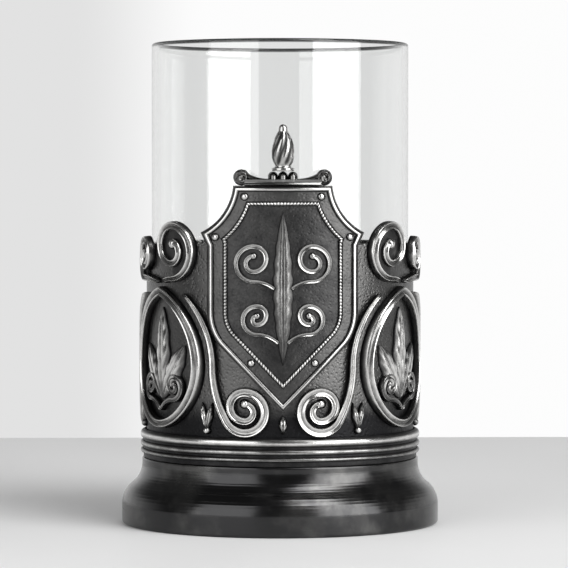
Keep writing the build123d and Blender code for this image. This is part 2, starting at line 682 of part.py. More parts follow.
curl_edge_deg = CURL_DEG + span(CURL_ENTRY_R + RIBBON / 2)
dart_deg = (curl_edge_deg + medallion_edge_deg(DART_H + DART_LENGTH)) / 2
for name, side in (("left", LEFT), ("right", RIGHT)):
    rear = 2 * side * MEDALLION_DEG
    make_medallion_frame(f"{name}_medallion_frame", side * MEDALLION_DEG)
    make_palmette(f"{name}_medallion_palmette", side * MEDALLION_DEG)
    make_volute(f"{name}_front_volute", side * FRONT_VOLUTE_DEG, VOLUTE_R, VOLUTE_STEP, -side)
    make_volute(f"{name}_rear_volute", side * REAR_VOLUTE_DEG, REAR_VOLUTE_R, REAR_VOLUTE_STEP, side)
    make_long_scroll(f"{name}_front_scroll", FRONT, side)
    make_long_scroll(f"{name}_rear_scroll", rear, -side)
    make_darts(f"{name}_front_darts", side * dart_deg)
    make_darts(f"{name}_rear_darts", rear - side * dart_deg)

# Handle plate: curved to the wall behind and pointed below; the handle is soldered to it
plate_half = across(HANDLE_PLATE_DEG)
plate_side_z = up(HANDLE_PLATE_BOTTOM_H + HANDLE_PLATE_TIP)
with BuildPart() as handle_plate:
    wall_ring(RELIEF_INNER_R, PLATE_R)
    with BuildSketch(wall_plane(BACK)):
        with BuildLine():
            Polyline(
                (0, up(HANDLE_PLATE_BOTTOM_H)),
                (plate_half, plate_side_z),
                (plate_half, up(HANDLE_PLATE_TOP_H)),
                (-plate_half, up(HANDLE_PLATE_TOP_H)),
                (-plate_half, plate_side_z),
                close=True,
            )
        make_face()
    extrude(amount=FOOT_R, mode=Mode.INTERSECT)
    drill(handle_rivet_places)
write(handle_plate, "handle_plate")

# Handle loop: a flat strap bent into an ear, both ends shaped to the round plate
with BuildPart() as handle_loop:
    with BuildLine(Plane.YZ) as loop_path:
        FilletPolyline(
            (PLATE_R / 2, up(HANDLE_UPPER_H)),
            (PLATE_R + HANDLE_ELBOW_REACH, up(HANDLE_UPPER_H)),
            (PLATE_R + HANDLE_BELLY_REACH, up(HANDLE_UPPER_H - HANDLE_BELLY_DROP)),
            (PLATE_R + HANDLE_HEEL_REACH, up(HANDLE_LOWER_H)),
            (PLATE_R / 2, up(HANDLE_LOWER_H)),
            radius=[HANDLE_ELBOW_R, HANDLE_BELLY_R, HANDLE_HEEL_R],
        )
    with BuildSketch(Plane(origin=loop_path.line @ 0, x_dir=(1, 0, 0), z_dir=loop_path.line % 0)):
        RectangleRounded(STRAP_WIDTH, STRAP_THICK, STRAP_ROUND)
    sweep()
    Cylinder(PLATE_R + SOLDER_GAP, RIM_Z, align=UPRIGHT, mode=Mode.SUBTRACT)
write(handle_loop, "handle_loop")

# Thumb rest: an upswept tab soldered to the flat top of the strap
thumb_y = PLATE_R + THUMB_START
thumb_end_y = thumb_y + THUMB_LENGTH
thumb_z = up(HANDLE_UPPER_H) + STRAP_THICK / 2 + SOLDER_GAP
thumb_end_z = thumb_z + THUMB_LIFT
with BuildPart() as handle_thumb_rest:
    with BuildSketch(Plane.YZ):
        with BuildLine():
            TangentArc((thumb_y, thumb_z), (thumb_end_y, thumb_end_z), tangent=(1, 0))
            Line((thumb_end_y, thumb_end_z), (thumb_end_y - THUMB_THICK, thumb_end_z + THUMB_THICK))
            TangentArc(
                (thumb_y, thumb_z + THUMB_THICK / 2),
                (thumb_end_y - THUMB_THICK, thumb_end_z + THUMB_THICK),
                tangent=(1, 0),
            )
            Line((thumb_y, thumb_z + THUMB_THICK / 2), (thumb_y, thumb_z))
        make_face()
    extrude(amount=THUMB_WIDTH / 2, both=True)
write(handle_thumb_rest, "handle_thumb_rest")

# Tea glass: straight thin wall, rounded heel, thick floor and rounded rim
bore_r = GLASS_R - GLASS_WALL
floor_z = SEAT_Z + GLASS_FLOOR
lip_z = RIM_Z - GLASS_WALL / 2
with BuildPart() as tea_glass:
    with BuildSketch(Plane.XZ):
        with BuildLine():
            Line((0, SEAT_Z), (GLASS_R - GLASS_HEEL_R, SEAT_Z))
            TangentArc((GLASS_R - GLASS_HEEL_R, SEAT_Z), (GLASS_R, SEAT_Z + GLASS_HEEL_R), tangent=(1, 0))
            Line((GLASS_R, SEAT_Z + GLASS_HEEL_R), (GLASS_R, lip_z))
            ThreePointArc((GLASS_R, lip_z), (GLASS_R - GLASS_WALL / 2, RIM_Z), (bore_r, lip_z))
            Line((bore_r, lip_z), (bore_r, floor_z + GLASS_HEEL_R))
            TangentArc((bore_r, floor_z + GLASS_HEEL_R), (bore_r - GLASS_HEEL_R, floor_z), tangent=(0, -1))
            Polyline((bore_r - GLASS_HEEL_R, floor_z), (0, floor_z), (0, SEAT_Z))
        make_face()
    revolve(axis=Axis.Z)
write(tea_glass, "tea_glass")
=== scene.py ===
"""Tea glass in a footed metal holder: surfaces, finishes and stage.

Metres. The glass's axis is +Z and the shield faces -Y. Ornament on the round wall is drawn flat,
u to the right and z up, on the tangent plane of an azimuth counted from the shield towards +X, and
laid on the wall at a radius. The point attribute "relief" is 0 in the recesses and 1 on the tops.
"""

from math import atan2, cos, hypot, pi, radians, sin, sqrt

import bmesh
import bpy
import numpy as np
from bpy.props import FloatProperty, FloatVectorProperty, IntProperty, PointerProperty
from bpy.types import Operator, Panel, PropertyGroup
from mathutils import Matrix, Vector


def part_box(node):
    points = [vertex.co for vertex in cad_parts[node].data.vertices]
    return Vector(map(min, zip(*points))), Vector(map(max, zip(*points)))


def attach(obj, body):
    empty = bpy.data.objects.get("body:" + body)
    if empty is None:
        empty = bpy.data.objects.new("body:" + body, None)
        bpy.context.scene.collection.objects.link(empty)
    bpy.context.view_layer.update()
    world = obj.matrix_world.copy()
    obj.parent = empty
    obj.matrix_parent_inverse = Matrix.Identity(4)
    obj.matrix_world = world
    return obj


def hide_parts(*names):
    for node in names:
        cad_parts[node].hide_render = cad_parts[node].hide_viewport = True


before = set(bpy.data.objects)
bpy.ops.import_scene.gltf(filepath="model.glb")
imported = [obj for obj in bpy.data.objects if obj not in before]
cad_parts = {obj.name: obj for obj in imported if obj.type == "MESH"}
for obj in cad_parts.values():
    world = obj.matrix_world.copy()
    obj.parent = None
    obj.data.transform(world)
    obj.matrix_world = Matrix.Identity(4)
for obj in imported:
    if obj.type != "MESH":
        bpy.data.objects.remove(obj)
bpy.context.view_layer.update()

bl_info = {
    "name": "Tea glass holder",
    "version": (1, 0, 0),
    "blender": (4, 5, 0),
    "location": "View3D > Sidebar > Tea glass",
    "description": "Builds a tea glass in a footed metal holder with shield, scrolls and medallions",
    "category": "Add Mesh",
}

MM = 0.001
SMOOTH_ANGLE = radians(42)
MERGE_DISTANCE = 0.002 * MM
SHORTEST_EDGE = 0.0001 * MM
SIDES = (("left", -1), ("right", 1))


def size(name, millimetres, description):
    """Length property, with its default given in millimetres."""
    default = millimetres * MM
    return FloatProperty(name=name, description=description, default=default, min=0.0, unit="LENGTH")


def turn(name, degrees, description):
    """Angle property, with its default given in degrees."""
    return FloatProperty(name=name, description=description, default=radians(degrees), subtype="ANGLE")


def share(name, default, description):
    """Plain factor from 0 to 1."""
    return plain_factor(name, default, description, 1.0)


def shine(name, default, description):
    """Factor on a relief's brightness, 1 for the plain one."""
    return plain_factor(name, default, description, 2.0)


def plain_factor(name, default, description, most):
    """Plain factor from 0 to a most."""
    return FloatProperty(
        name=name, description=description, default=default, min=0.0, max=most, subtype="FACTOR"
    )


def count(name, default, description):
    """Whole number of repeated features."""
    return IntProperty(name=name, description=description, default=default, min=1)


def colour(name, red, green, blue, description):
    """Linear colour property."""
    default = (red, green, blue)
    return FloatVectorProperty(
        name=name, description=description, default=default, min=0.0, max=1.0, size=3, subtype="COLOR"
    )


def outer_radius(node):
    """Largest radius about the axis of a round node, from its box."""
    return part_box(node)[1].x


def heights(node):
    """Lowest and highest z of a node, from its box."""
    low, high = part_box(node)
    return low.z, high.z


# Radii and heights that the frame gives
GLASS_R = outer_radius("tea_glass")
GLASS_LOW, GLASS_HIGH = heights("tea_glass")
SLEEVE_R = outer_radius("wall_sleeve")
SLEEVE_LOW, SLEEVE_HIGH = heights("wall_sleeve")
COLLAR_R = outer_radius("collar_band")
COLLAR_LOW, COLLAR_HIGH = heights("collar_band")
FOOT_R = outer_radius("foot_skirt")
FOOT_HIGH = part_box("foot_skirt")[1].z
PLATE_R = -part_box("shield_plate")[0].y
SHIELD_LOW, SHIELD_HIGH = heights("shield_plate")
CREST_R = -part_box("crest_bar")[0].y
HANDLE_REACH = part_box("handle_thumb_rest")[1].y
HANDLE_PLATE_LOW, HANDLE_PLATE_HIGH = heights("handle_plate")
THUMB_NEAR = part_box("handle_thumb_rest")[0].y
THUMB_LOW, THUMB_HIGH = heights("handle_thumb_rest")
FINIAL_LOW, FINIAL_HIGH = heights("crest_finial")
FINIAL_AXIS_Y = (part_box("crest_finial")[0].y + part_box("crest_finial")[1].y) / 2


class WallSizes(PropertyGroup):
    """Glass, foot, collar and wall."""

    glass_wall: size("Glass wall", 1.5, "Thickness of the glass's wall")
    # Painted reflection: the dark painted on the glass's rim fades out over this depth below the rim's round
    rim_reflection_fade: size("Rim fade", 0.4, "Depth below the rim's round over which its clouding dies away")
    glass_floor: size("Glass floor", 5.0, "Thickness of the glass's floor")
    glass_heel: size("Glass heel", 3.0, "Radius at the glass's lower edge")
    sleeve_wall: size("Sleeve wall", 1.0, "Thickness of the sheet sleeve")
    # Painted shade: the wall's tone is painted darkest just above the collar and grows lighter over the shade
    # rise
    shade_low: size("Shade height", 1.5, "How far above the collar the wall's tone stays dark")
    shade_rise: size("Shade rise", 9.0, "Height over which the wall's tone grows lighter above that")
    sleeve_gap: size("Solder gap", 0.05, "Room between the sleeve and what is soldered to it")
    foot_wall: size("Foot wall", 2.0, "Thickness of the spun foot")
    foot_rim: size("Foot rim", 5.0, "Height of the foot's upright rim")
    foot_edge: size("Foot edge", 0.8, "Radius along the foot's lower edge")
    neck_radius: size("Neck radius", 36.6, "Radius of the foot's neck")
    neck_drop: size("Neck drop", 1.4, "Height of the foot's upright neck")
    flange_radius: size("Flange radius", 30.6, "Inner radius of the foot's top flange")
    neck_edge: size("Neck edge", 0.3, "Radius along the neck's upper edge")
    flange_thick: size("Flange thickness", 1.0, "Thickness of the foot's top flange")
    ring_rise: size("Ring rise", 0.03, "Height of the fine rings left by spinning on the foot")
    ring_pitch: size("Ring pitch", 0.9, "Distance between those rings along the foot's curve")
    collar_edge: size("Collar edge", 0.25, "Radius along the collar band's edges")
    bead_rise: size("Bead rise", 0.8, "How far the collar's wires stand out")


class OrnamentSizes(PropertyGroup):
    """Ribbons, leaves and curls of the wall's relief."""

    ribbon: size("Ribbon width", 2.2, "Width of the scroll ribbons")
    scroll_rise: size("Scroll rise", 1.9, "Height of the scrolls above the wall")
    frame_rise: size("Frame rise", 2.0, "Height of the medallion frames above the wall")
    leaf_rise: size("Leaf rise", 1.4, "Height of the wall's leaves")
    hollow: share("Ribbon hollow", 0.34, "How deep the volutes and frames are hollowed between their rims")
    scroll_hollow: share("Scroll hollow", 0.22, "How deep the long scrolls are hollowed between their rims")
    vein: share("Leaf veins", 0.3, "How deep the leaves are cut along their veins")
    medallion_turn: turn("Medallion azimuth", 59.36, "Azimuth of the medallions")
    medallion_half: size("Medallion half width", 15.2, "Half the width of a medallion")
    medallion_waist: size("Medallion waist", 43.0, "Height of a medallion's widest place")
    medallion_low: size("Medallion foot", 26.4, "Height of a medallion's lower end")
    medallion_high: size("Medallion point", 63.3, "Height of a medallion's point")
    frame_width: size("Frame width", 2.4, "Width of a medallion's frame")
    palmette_low: size("Palmette foot", 34.0, "Height that the palmette's leaves grow from")
    palmette_leaf: size("Palmette leaf", 6.8, "Width of a palmette leaf")
    palmette_side: size("Palmette side reach", 11.4, "Reach of the palmette's leaves to the side")
    palmette_rise: size("Palmette rise", 23.9, "Reach of the palmette's middle leaf")
    palmette_curl: size("Palmette curl", 3.0, "Radius of the palmette's curls")
    palmette_step: size("Palmette curl step", 0.95, "How much a palmette curl's radius falls each half turn")
    palmette_ribbon: size("Palmette ribbon", 1.5, "Width of the palmette's ribbons")
    palmette_eye: size("Palmette eye", 0.95, "Radius of the eye in a palmette curl")
    palmette_run: size("Palmette curl run", 5.6, "Sideways place of the palmette's curls")
    palmette_lean: turn("Palmette lean", 33.0, "Lean of the palmette's side leaves")
    # Partly rubbed polish, partly painted highlight: scales the leaves' relief so that more of them take the
    # polished colour
    palmette_leaf_polish_and_highlight: shine("Palmette leaf shine", 1.15, "How brightly the palmette's leaves are rubbed")
    palmette_curl_shine: shine("Palmette curl shine", 0.78, "How brightly the palmette's curls are rubbed")
    volute_front: turn("Front volute azimuth", 50.8, "Azimuth of the front volutes")
    volute_rear: turn("Rear volute azimuth", 75.04, "Azimuth of the rear volutes")
    volute_low: size("Volute foot", 65.3, "Height that the volutes' ribbons start from")
    volute_radius: size("Volute radius", 6.9, "Radius of a front volute's outer turn")
    volute_step: size("Volute step", 2.0, "How much a front volute's radius falls each half turn")
    rear_radius: size("Rear volute radius", 4.9, "Radius of a rear volute's outer turn")
    rear_step: size("Rear volute step", 1.5, "How much a rear volute's radius falls each half turn")
    volute_eye: size("Volute eye", 1.5, "Radius of a volute's eye")
    volute_back: size("Volute back", 0.8, "Thickness of the plate behind a volute's turns")
    volute_ground: share("Volute ground", 0.36, "How light the plate behind a volute's turns is")
    volute_drop: size("Volute drop", 0.8, "How far a volute's root lies below its first turn")
    volute_gap: size("Volute gap", 0.9, "Room between the roots of two volutes")
    curl_radius: size("Curl radius", 5.2, "Radius of the curl at a long scroll's foot")
    curl_step: size("Curl step", 1.5, "How much a curl's radius falls each half turn")
    curl_eye: size("Curl eye", 1.3, "Radius of a curl's eye")
    scroll_foot: size("Scroll foot", 9.83, "Sideways place of a long scroll's foot")
    scroll_low: size("Scroll low", 26.3, "Height of a long scroll's foot")
    entry_radius: size("Entry radius", 5.4, "Bend radius where a long scroll enters its curl")
    entry_turn: turn("Entry turn", 65.0, "How far that bend turns")
    scroll_waist: size("Scroll waist", 18.12, "Sideways place of a long scroll's waist")
    scroll_high: size("Scroll top", 61.5, "Height of a long scroll's upper end")
    scroll_end: size("Scroll end", 25.66, "Sideways place of a long scroll's upper end")
    dart_turn: turn("Dart azimuth", 32.63, "Azimuth of the small leaves")
    dart_low: size("Dart foot", 26.6, "Height of the small leaves' foot")
    dart_length: size("Dart length", 7.4, "Length of a small leaf")
    dart_width: size("Dart width", 2.0, "Width of a small leaf")
    dart_lean: turn("Dart lean", 12.0, "Lean of the small leaves to either side")
    dart_hub: size("Dart hub", 1.0, "Radius of the button at the small leaves' foot")


class ShieldSizes(PropertyGroup):
    """Shield, crest bar and finial."""

    top_half: size("Top half", 12.65, "Half the width of the shield's top edge")
    shoulder_half: size("Shoulder half", 20.99, "Half the width at the shoulders")
    shoulder_high: size("Shoulder height", 77.4, "Height of the shoulders")
    side_half: size("Side half", 19.41, "Half the width between the sides")
    side_high: size("Side top", 74.0, "Height of the sides' upper end")
    side_low: size("Side foot", 57.0, "Height of the sides' lower end")
    bend_half: size("Bend half", 16.37, "Half the width where the point begins")
    bend_high: size("Bend height", 48.6, "Height where the point begins")
    scoop: size("Scoop depth", 1.9, "How deep the upper corners are scooped")
    plate_edge: size("Plate edge", 0.2, "Softening along the shield plate's edge")
    moulding_rise: size("Moulding rise", 0.8, "Height of the shield's mouldings")
    outer_inset: size("Outer inset", 0.2, "Inset of the outer moulding")
    outer_width: size("Outer width", 1.4, "Width of the outer moulding")
    inner_inset: size("Inner inset", 4.0, "Inset of the inner moulding")
    inner_width: size("Inner width", 1.2, "Width of the inner moulding")
    pearls: count("Pearls", 150, "Number of pearls along the inner moulding")
    spray_rise: size("Spray rise", 0.9, "Height of the spray on the field")
    spray_low: size("Spray foot", 43.5, "Height of the spray's foot")
    spray_high: size("Spray tip", 82.8, "Height of the spray's tip")
    spray_leaf: size("Spray leaf", 5.6, "Width of the spray's leaf")
    spray_ribbon: size("Spray ribbon", 1.5, "Width of the spray's ribbons")
    spray_gap: size("Spray gap", 0.8, "Room between the spray's leaf and its curls")
    spray_step: size("Spray curl step", 1.25, "How much a spray curl's radius falls each half turn")
    spray_eye: size("Spray eye", 0.95, "Radius of the eye in a spray curl")
    spray_upper: size("Upper curls", 65.0, "Height that the spray's upper curls start from")
    spray_lower: size("Lower curls", 51.5, "Height that the spray's lower curls start from")
    spray_lower_curl: size("Lower curl radius", 3.6, "Radius of the spray's lower curls")
    rivet_head: size("Rivet head", 1.05, "Radius of a rivet's head")
    rivet_rise: size("Rivet rise", 0.9, "Height of a rivet's head")
    rivet_inset: size("Rivet inset", 2.8, "Inset of the shield's rivets")
    crest_scroll: size("Crest scroll", 2.1, "Radius of the crest bar's scrolls")
    crest_height: size("Crest bar height", 1.8, "Height of the crest bar")
    sweep_half: size("Sweep half width", 0.7, "Half the width of the ribbon that sweeps up to a crest scroll")
    sweep_taper: share("Sweep taper", 0.35, "Width of that ribbon at the block, against its full width")
    crest_block_half: size("Crest block half", 3.8, "Half the width of the crest's block")
    crest_block_height: size("Crest block height", 3.6, "Height of the crest's block")
    finial_flutes: count("Finial flutes", 7, "Number of flutes on the finial")
    finial_twist: turn("Finial twist", 210.0, "How far the flutes turn from foot to tip")
    flute_depth: share("Flute depth", 0.13, "Depth of the flutes as a share of the radius")


class HandleSizes(PropertyGroup):
    """Handle behind the holder."""

    plate_half: size("Plate half", 14.42, "Half the width of the handle's plate")
    plate_tip: size("Plate tip", 5.0, "Height of the plate's pointed foot")
    upper: size("Upper arm", 68.5, "Height of the strap's upper arm")
    lower: size("Lower arm", 34.0, "Height of the strap's lower arm")
    belly: size("Belly height", 52.0, "Height of the strap's belly")
    elbow_reach: size("Elbow reach", 63.15, "Distance of the elbow from the axis")
    belly_reach: size("Belly reach", 65.65, "Distance of the belly from the axis")
    heel_reach: size("Heel reach", 53.65, "Distance of the heel from the axis")
    elbow_radius: size("Elbow radius", 8.0, "Bend radius of the elbow")
    belly_radius: size("Belly radius", 16.0, "Bend radius of the belly")
    heel_radius: size("Heel radius", 9.0, "Bend radius of the heel")
    strap_width: size("Strap width", 10.0, "Width of the strap")
    strap_thick: size("Strap thickness", 3.6, "Thickness of the strap")
    strap_gap: size("Strap gap", 0.05, "Room between the strap's ends and the plate")
    groove: size("Strap groove", 0.45, "Depth of the two grooves along the strap")
    groove_half: size("Groove half width", 0.8, "Half the width of a groove")
    groove_place: share("Groove place", 0.27, "Place off the strap's middle, as a share of its width")
    thumb_width: size("Thumb rest width", 9.0, "Width of the thumb rest")
    thumb_thick: size("Thumb rest thickness", 1.4, "Thickness of the thumb rest")
    rivet_inset: size("Rivet inset", 4.0, "Inset of the handle plate's rivets")


class Finishes(PropertyGroup):
    """Colours of the metals, the glass and the stage."""

    recess: colour("Recess", 0.018, 0.018, 0.019, "Blackened metal in the recesses")
    middle: colour("Middle", 0.115, 0.114, 0.112, "Toned metal on the slopes")
    polished: colour("Polished", 0.74, 0.735, 0.722, "Rubbed metal on the high places")
    foot: colour("Foot", 0.046, 0.046, 0.047, "Blackened foot")
    foot_worn: colour("Foot worn", 0.12, 0.119, 0.116, "Rubbed patches of the foot")
    inside: colour("Inside", 0.09, 0.088, 0.085, "Hidden inner pieces")
    glass: colour("Glass", 0.985, 0.99, 0.987, "Clear glass")
    # Painted reflection: dark colour painted on the glass's rim, standing in for the dark surroundings that
    # the rim mirrors
    glass_rim_painted_reflection: colour("Glass rim", 0.08, 0.083, 0.082, "Clouded polish of the glass's rim")
    floor: colour("Floor", 0.75, 0.75, 0.75, "Table top")
    background: colour("Background", 0.98, 0.98, 0.98, "Pale background")
    # Painted shade: the backdrop is painted darker towards the picture's left edge
    background_left_painted_shade: colour("Background left", 0.76, 0.76, 0.76, "Background at the picture's left edge")
    behind: colour("Behind", 0.82, 0.82, 0.82, "Background as the glass and the metal show it")
    fill: colour("Fill", 0.4, 0.4, 0.4, "Soft light from all round")
    room: colour("Room", 0.12, 0.12, 0.12, "Room behind the camera, as the metal mirrors it")


class StageSizes(PropertyGroup):
    """Camera and lights."""

    camera_distance: size("Camera distance", 850.0, "Distance of the camera from the axis")
    camera_height: size("Camera height", 91.3, "Height of the camera")
    camera_turn: turn("Camera azimuth", -1.2, "Azimuth of the camera")
    aim_height: size("Aim height", 63.2, "Height that the camera is aimed at")
    aim_right: size("Aim right", 1.06, "How far to the right of the axis the camera is aimed")
    lens: FloatProperty(name="Lens", description="Focal length in millimetres", default=202.8, min=1.0)
    floor_back: size("Floor back edge", 275.0, "Distance of the table's far edge behind the axis")
    floor_half: size("Floor half width", 1500.0, "Half the width of the table")


GROUPS = {
    "holder_wall": WallSizes,
    "holder_ornament": OrnamentSizes,
    "holder_shield": ShieldSizes,
    "holder_handle": HandleSizes,
    "holder_finish": Finishes,
    "holder_stage": StageSizes,
}


# Paths and outlines in the flat drawing, each an array of (u, z)

def line(start, end, steps=12):
    """Straight run from start to end: start + t (end - start)."""
    t = np.linspace(0.0, 1.0, steps)[:, None]
    return np.asarray(start) + t * (np.asarray(end) - np.asarray(start))


def arc(centre, radius, start, end, steps=24):
    """Circular run: centre + radius (cos a, sin a), a from start to end."""
    a = np.linspace(start, end, steps)
    return np.stack([centre[0] + radius * np.cos(a), centre[1] + radius * np.sin(a)], axis=1)


def bearing(vector):
    """Angle of a vector, counted from u towards z."""
    return atan2(vector[1], vector[0])


def tangent_arc(start, end, heading, steps=24):
    """Circular run that leaves start in a heading and passes through end: the radius is the square
    of the chord over twice the chord's share across the heading."""
    start, end, heading = (np.asarray(v, dtype=float) for v in (start, end, heading))
    heading = heading / np.linalg.norm(heading)
    across = np.array([-heading[1], heading[0]])
    chord = end - start
    radius = chord @ chord / (2 * chord @ across)
    centre = start + across * radius
    first = bearing(start - centre)
    sweep = 2 * atan2(chord @ across, chord @ heading)
    return arc(centre, abs(radius), first, first + sweep, steps)


def half_turns(start, radius, step, side, turns=3, steps=28):
    """Half circles that wind upwards and inwards from start, the first on the given side; each
    has a radius smaller than the last by the step."""
    u, z = start
    rise = 1
    runs = []
    for number in range(turns):
        r = radius - number * step
        a = np.linspace(-pi / 2, pi / 2, steps)
        runs.append(np.stack([u + side * r * np.cos(a), z + rise * r * (1 + np.sin(a))], axis=1))
        z += rise * 2 * r
        rise, side = -rise, -side
    return join(*runs)


def join(*runs):
    """One path from runs that follow one another, without the doubled points between them."""
    return np.concatenate([runs[0]] + [run[1:] for run in runs[1:]])


def both_sides(half):
    """Closed outline from its right half, which starts and ends on the middle line."""
    return np.concatenate([half, half[-2:0:-1] * (-1, 1)])


def rounded_route(points, radii, steps=14):
    """Straight runs whose corners are replaced by arcs that touch both runs: the touching points
    lie radius * tan(half the turn) from the corner."""
    points = [np.asarray(p, dtype=float) for p in points]
    runs = [points[0][None]]
    for before, corner, after, radius in zip(points, points[1:], points[2:], radii):
        into = (corner - before) / np.linalg.norm(corner - before)
        out = (after - corner) / np.linalg.norm(after - corner)
        bend = atan2(into[0] * out[1] - into[1] * out[0], into @ out)
        reach = radius * np.tan(abs(bend) / 2)
        here = corner - into * reach
        runs.append(line(runs[-1][-1], here, 14))
        runs.append(tangent_arc(here, corner + out * reach, into, steps))
    runs.append(line(runs[-1][-1], points[-1], 14))
    return join(*runs)


def directions(path):
    """Unit normals of a path, a quarter turn to the left of its tangents, and the length so far."""
    tangent = np.gradient(path, axis=0)
    tangent /= np.linalg.norm(tangent, axis=1, keepdims=True)
    steps = np.linalg.norm(np.diff(path, axis=0), axis=1)
    normal = np.stack([-tangent[:, 1], tangent[:, 0]], axis=1)
    return normal, np.concatenate([[0.0], np.cumsum(steps)])


def on_wall(azimuth, u, z, radius):
    """Point of the flat drawing at an azimuth, laid on the cylinder of a radius: u sideways and
    sqrt(radius^2 - u^2) outwards, turned to the azimuth."""
    out = np.sqrt(radius**2 - u**2)
    x = u * cos(azimuth) + out * sin(azimuth)
    y = u * sin(azimuth) - out * cos(azimuth)
    return np.stack(np.broadcast_arrays(x, y, z), axis=-1)


# Meshes from grids

class Patch:
    """Grid of points with their relief, closed or open along its rows and its columns."""

    def __init__(self, points, relief, wrap_rows=False, wrap_columns=False):
        self.points = points
        self.relief = np.broadcast_to(relief, points.shape[:2])
        self.wrap = (wrap_rows, wrap_columns)

    def rubbed(self, shine):
        """The same patch with its relief times a shine, 1 at most."""
        self.relief = np.minimum(self.relief * shine, 1.0)
        return self

    def faces(self):
        """Four corner numbers for each cell of the grid."""
        rows, columns = self.points.shape[:2]
        i = np.arange(rows if self.wrap[0] else rows - 1)[:, None]
        j = np.arange(columns if self.wrap[1] else columns - 1)[None]
        far_i, far_j = (i + 1) % rows, (j + 1) % columns
        corners = [i * columns + j, far_i * columns + j, far_i * columns + far_j, i * columns + far_j]
        cells = np.stack([np.broadcast_to(c, (i.size, j.size)) for c in corners], axis=-1)
        return cells.reshape(-1, 4)


def make_piece(name, patches, material, node, body="holder"):
    """One mesh object from patches, which stands for a node: doubled points merged, faces turned
    outwards, smooth shaded."""
    first = np.cumsum([0] + [p.points.shape[0] * p.points.shape[1] for p in patches])
    points = np.concatenate([p.points.reshape(-1, 3) for p in patches])
    faces = np.concatenate([p.faces() + start for p, start in zip(patches, first)])
    mesh = bpy.data.meshes.new(name)
    mesh.from_pydata(points, [], faces)
    relief = np.concatenate([p.relief.reshape(-1) for p in patches])
    attribute = mesh.attributes.new("relief", "FLOAT", "POINT")
    attribute.data.foreach_set("value", relief.astype(np.float32))
    work = bmesh.new()
    work.from_mesh(mesh)
    bmesh.ops.remove_doubles(work, verts=work.verts, dist=MERGE_DISTANCE)
    bmesh.ops.dissolve_degenerate(work, edges=work.edges, dist=SHORTEST_EDGE)
    bmesh.ops.recalc_face_normals(work, faces=work.faces)
    work.to_mesh(mesh)
    work.free()
    mesh.shade_smooth()
    mesh.set_sharp_from_angle(angle=SMOOTH_ANGLE)
    mesh.materials.append(material)
    piece = bpy.data.objects.new(name, mesh)
    bpy.context.scene.collection.objects.link(piece)
    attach(piece, body)
    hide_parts(node)


def revolve(profile, relief, segments=192, axis_y=0.0, swell=None):
    """Closed profile of (radius, z) carried round an upright axis: (r sin a, axis_y - r cos a, z);
    swell(a, z) scales the radius."""
    a = np.linspace(0.0, 2 * pi, segments, endpoint=False)[:, None]
    r, z = profile[None, :, 0], profile[None, :, 1]
    if swell is not None:
        r = r * swell(a, z)
    points = np.stack(np.broadcast_arrays(r * np.sin(a), axis_y - r * np.cos(a), z), axis=-1)
    return Patch(points, relief, wrap_rows=True, wrap_columns=True)


def ease(t):
    """Smooth step from 0 to 1: 3 t^2 - 2 t^3."""
    t = np.clip(t, 0.0, 1.0)
    return t * t * (3 - 2 * t)


def rims(c, hollow):
    """Height across a hollowed ribbon, c from -1 to 1: 1 - hollow (1 - (c / 0.66)^2)^1.5 between its
    two rims, falling along a quarter ellipse over the outer 0.3 to the edges."""
    middle = 1 - hollow * np.clip(1 - (c / 0.66) ** 2, 0, 1) ** 1.5
    edge = np.sqrt(np.clip(1 - np.clip((np.abs(c) - 0.7) / 0.3, 0, 1) ** 2, 0, 1))
    return middle * edge


def dome(c, hollow):
    """Height across a plain half-round, c from -1 to 1: sqrt(1 - c^2). It has no hollow."""
    return np.sqrt(np.clip(1 - c**2, 0, 1))


def ribbon(azimuth, path, half_width, base_r, rise, hollow, widths=(1.0, 1.0), section=rims):
    """Section carried along a path on the wall, with rounded ends. Across it c runs from -1 to 1 and
    the height is rise * section(c); a flat underside closes it. Both width and height die away over
    one half width at each end, and the width follows the given factors, spread evenly along the path."""
    path = denser_ends(path, half_width)
    normal, length = directions(path)
    t = length / length[-1]
    wide = half_width * np.interp(t, np.linspace(0, 1, len(widths)), widths)
    near = np.minimum(length, length[-1] - length) / half_width
    end = np.sqrt(np.clip(1 - (1 - np.clip(near, 0, 1)) ** 2, 0, 1))
    c = np.sin(np.linspace(-pi / 2, pi / 2, 21))
    top = section(c, hollow)
    c = np.concatenate([c, c[-2:0:-4]])
    h = np.concatenate([top, np.zeros(len(c) - len(top))])
    u = path[:, None, 0] + normal[:, None, 0] * c * (wide * end)[:, None]
    z = path[:, None, 1] + normal[:, None, 1] * c * (wide * end)[:, None]
    points = on_wall(azimuth, u, z, base_r + rise * h * end[:, None])
    return Patch(points, h * (0.25 + 0.75 * end[:, None]), wrap_columns=True)


def denser_ends(path, half_width, steps=7):
    """Path with extra points over the first and last half width, so that its ends come out round."""
    length = directions(path)[1]
    extra = half_width * (1 - np.cos(np.linspace(0, pi / 2, steps)))
    places = np.unique(np.concatenate([length, extra, length[-1] - extra]))
    places = places[np.concatenate([[True], np.diff(places) > half_width / 60])]
    return np.stack([np.interp(places, length, path[:, axis]) for axis in (0, 1)], axis=1)


def button(azimuth, centre, radius, base_r, rise, spiral=0.0, roundness=2.4):
    """Domed disc: height rise * (1 - rho^roundness)^(1/2), with a spiral cut of the given depth whose
    phase is 2 pi * 1.7 rho minus the angle; a flat underside closes it."""
    rho = np.concatenate([np.sin(np.linspace(0, pi / 2, 15)), [1.0, 0.0]])[:, None]
    a = np.linspace(0, 2 * pi, 36, endpoint=False)[None]
    cut = spiral * (0.5 - 0.5 * np.cos(2 * pi * 1.7 * rho - a)) * ease(rho * 3)
    h = np.sqrt(np.clip(1 - rho**roundness, 0, 1)) * (1 - cut)
    h = np.where(np.arange(rho.size)[:, None] >= rho.size - 2, 0.0, h)
    u, z = centre[0] + radius * rho * np.cos(a), centre[1] + radius * rho * np.sin(a)
    return Patch(on_wall(azimuth, u, z, base_r + rise * h), h, wrap_columns=True)


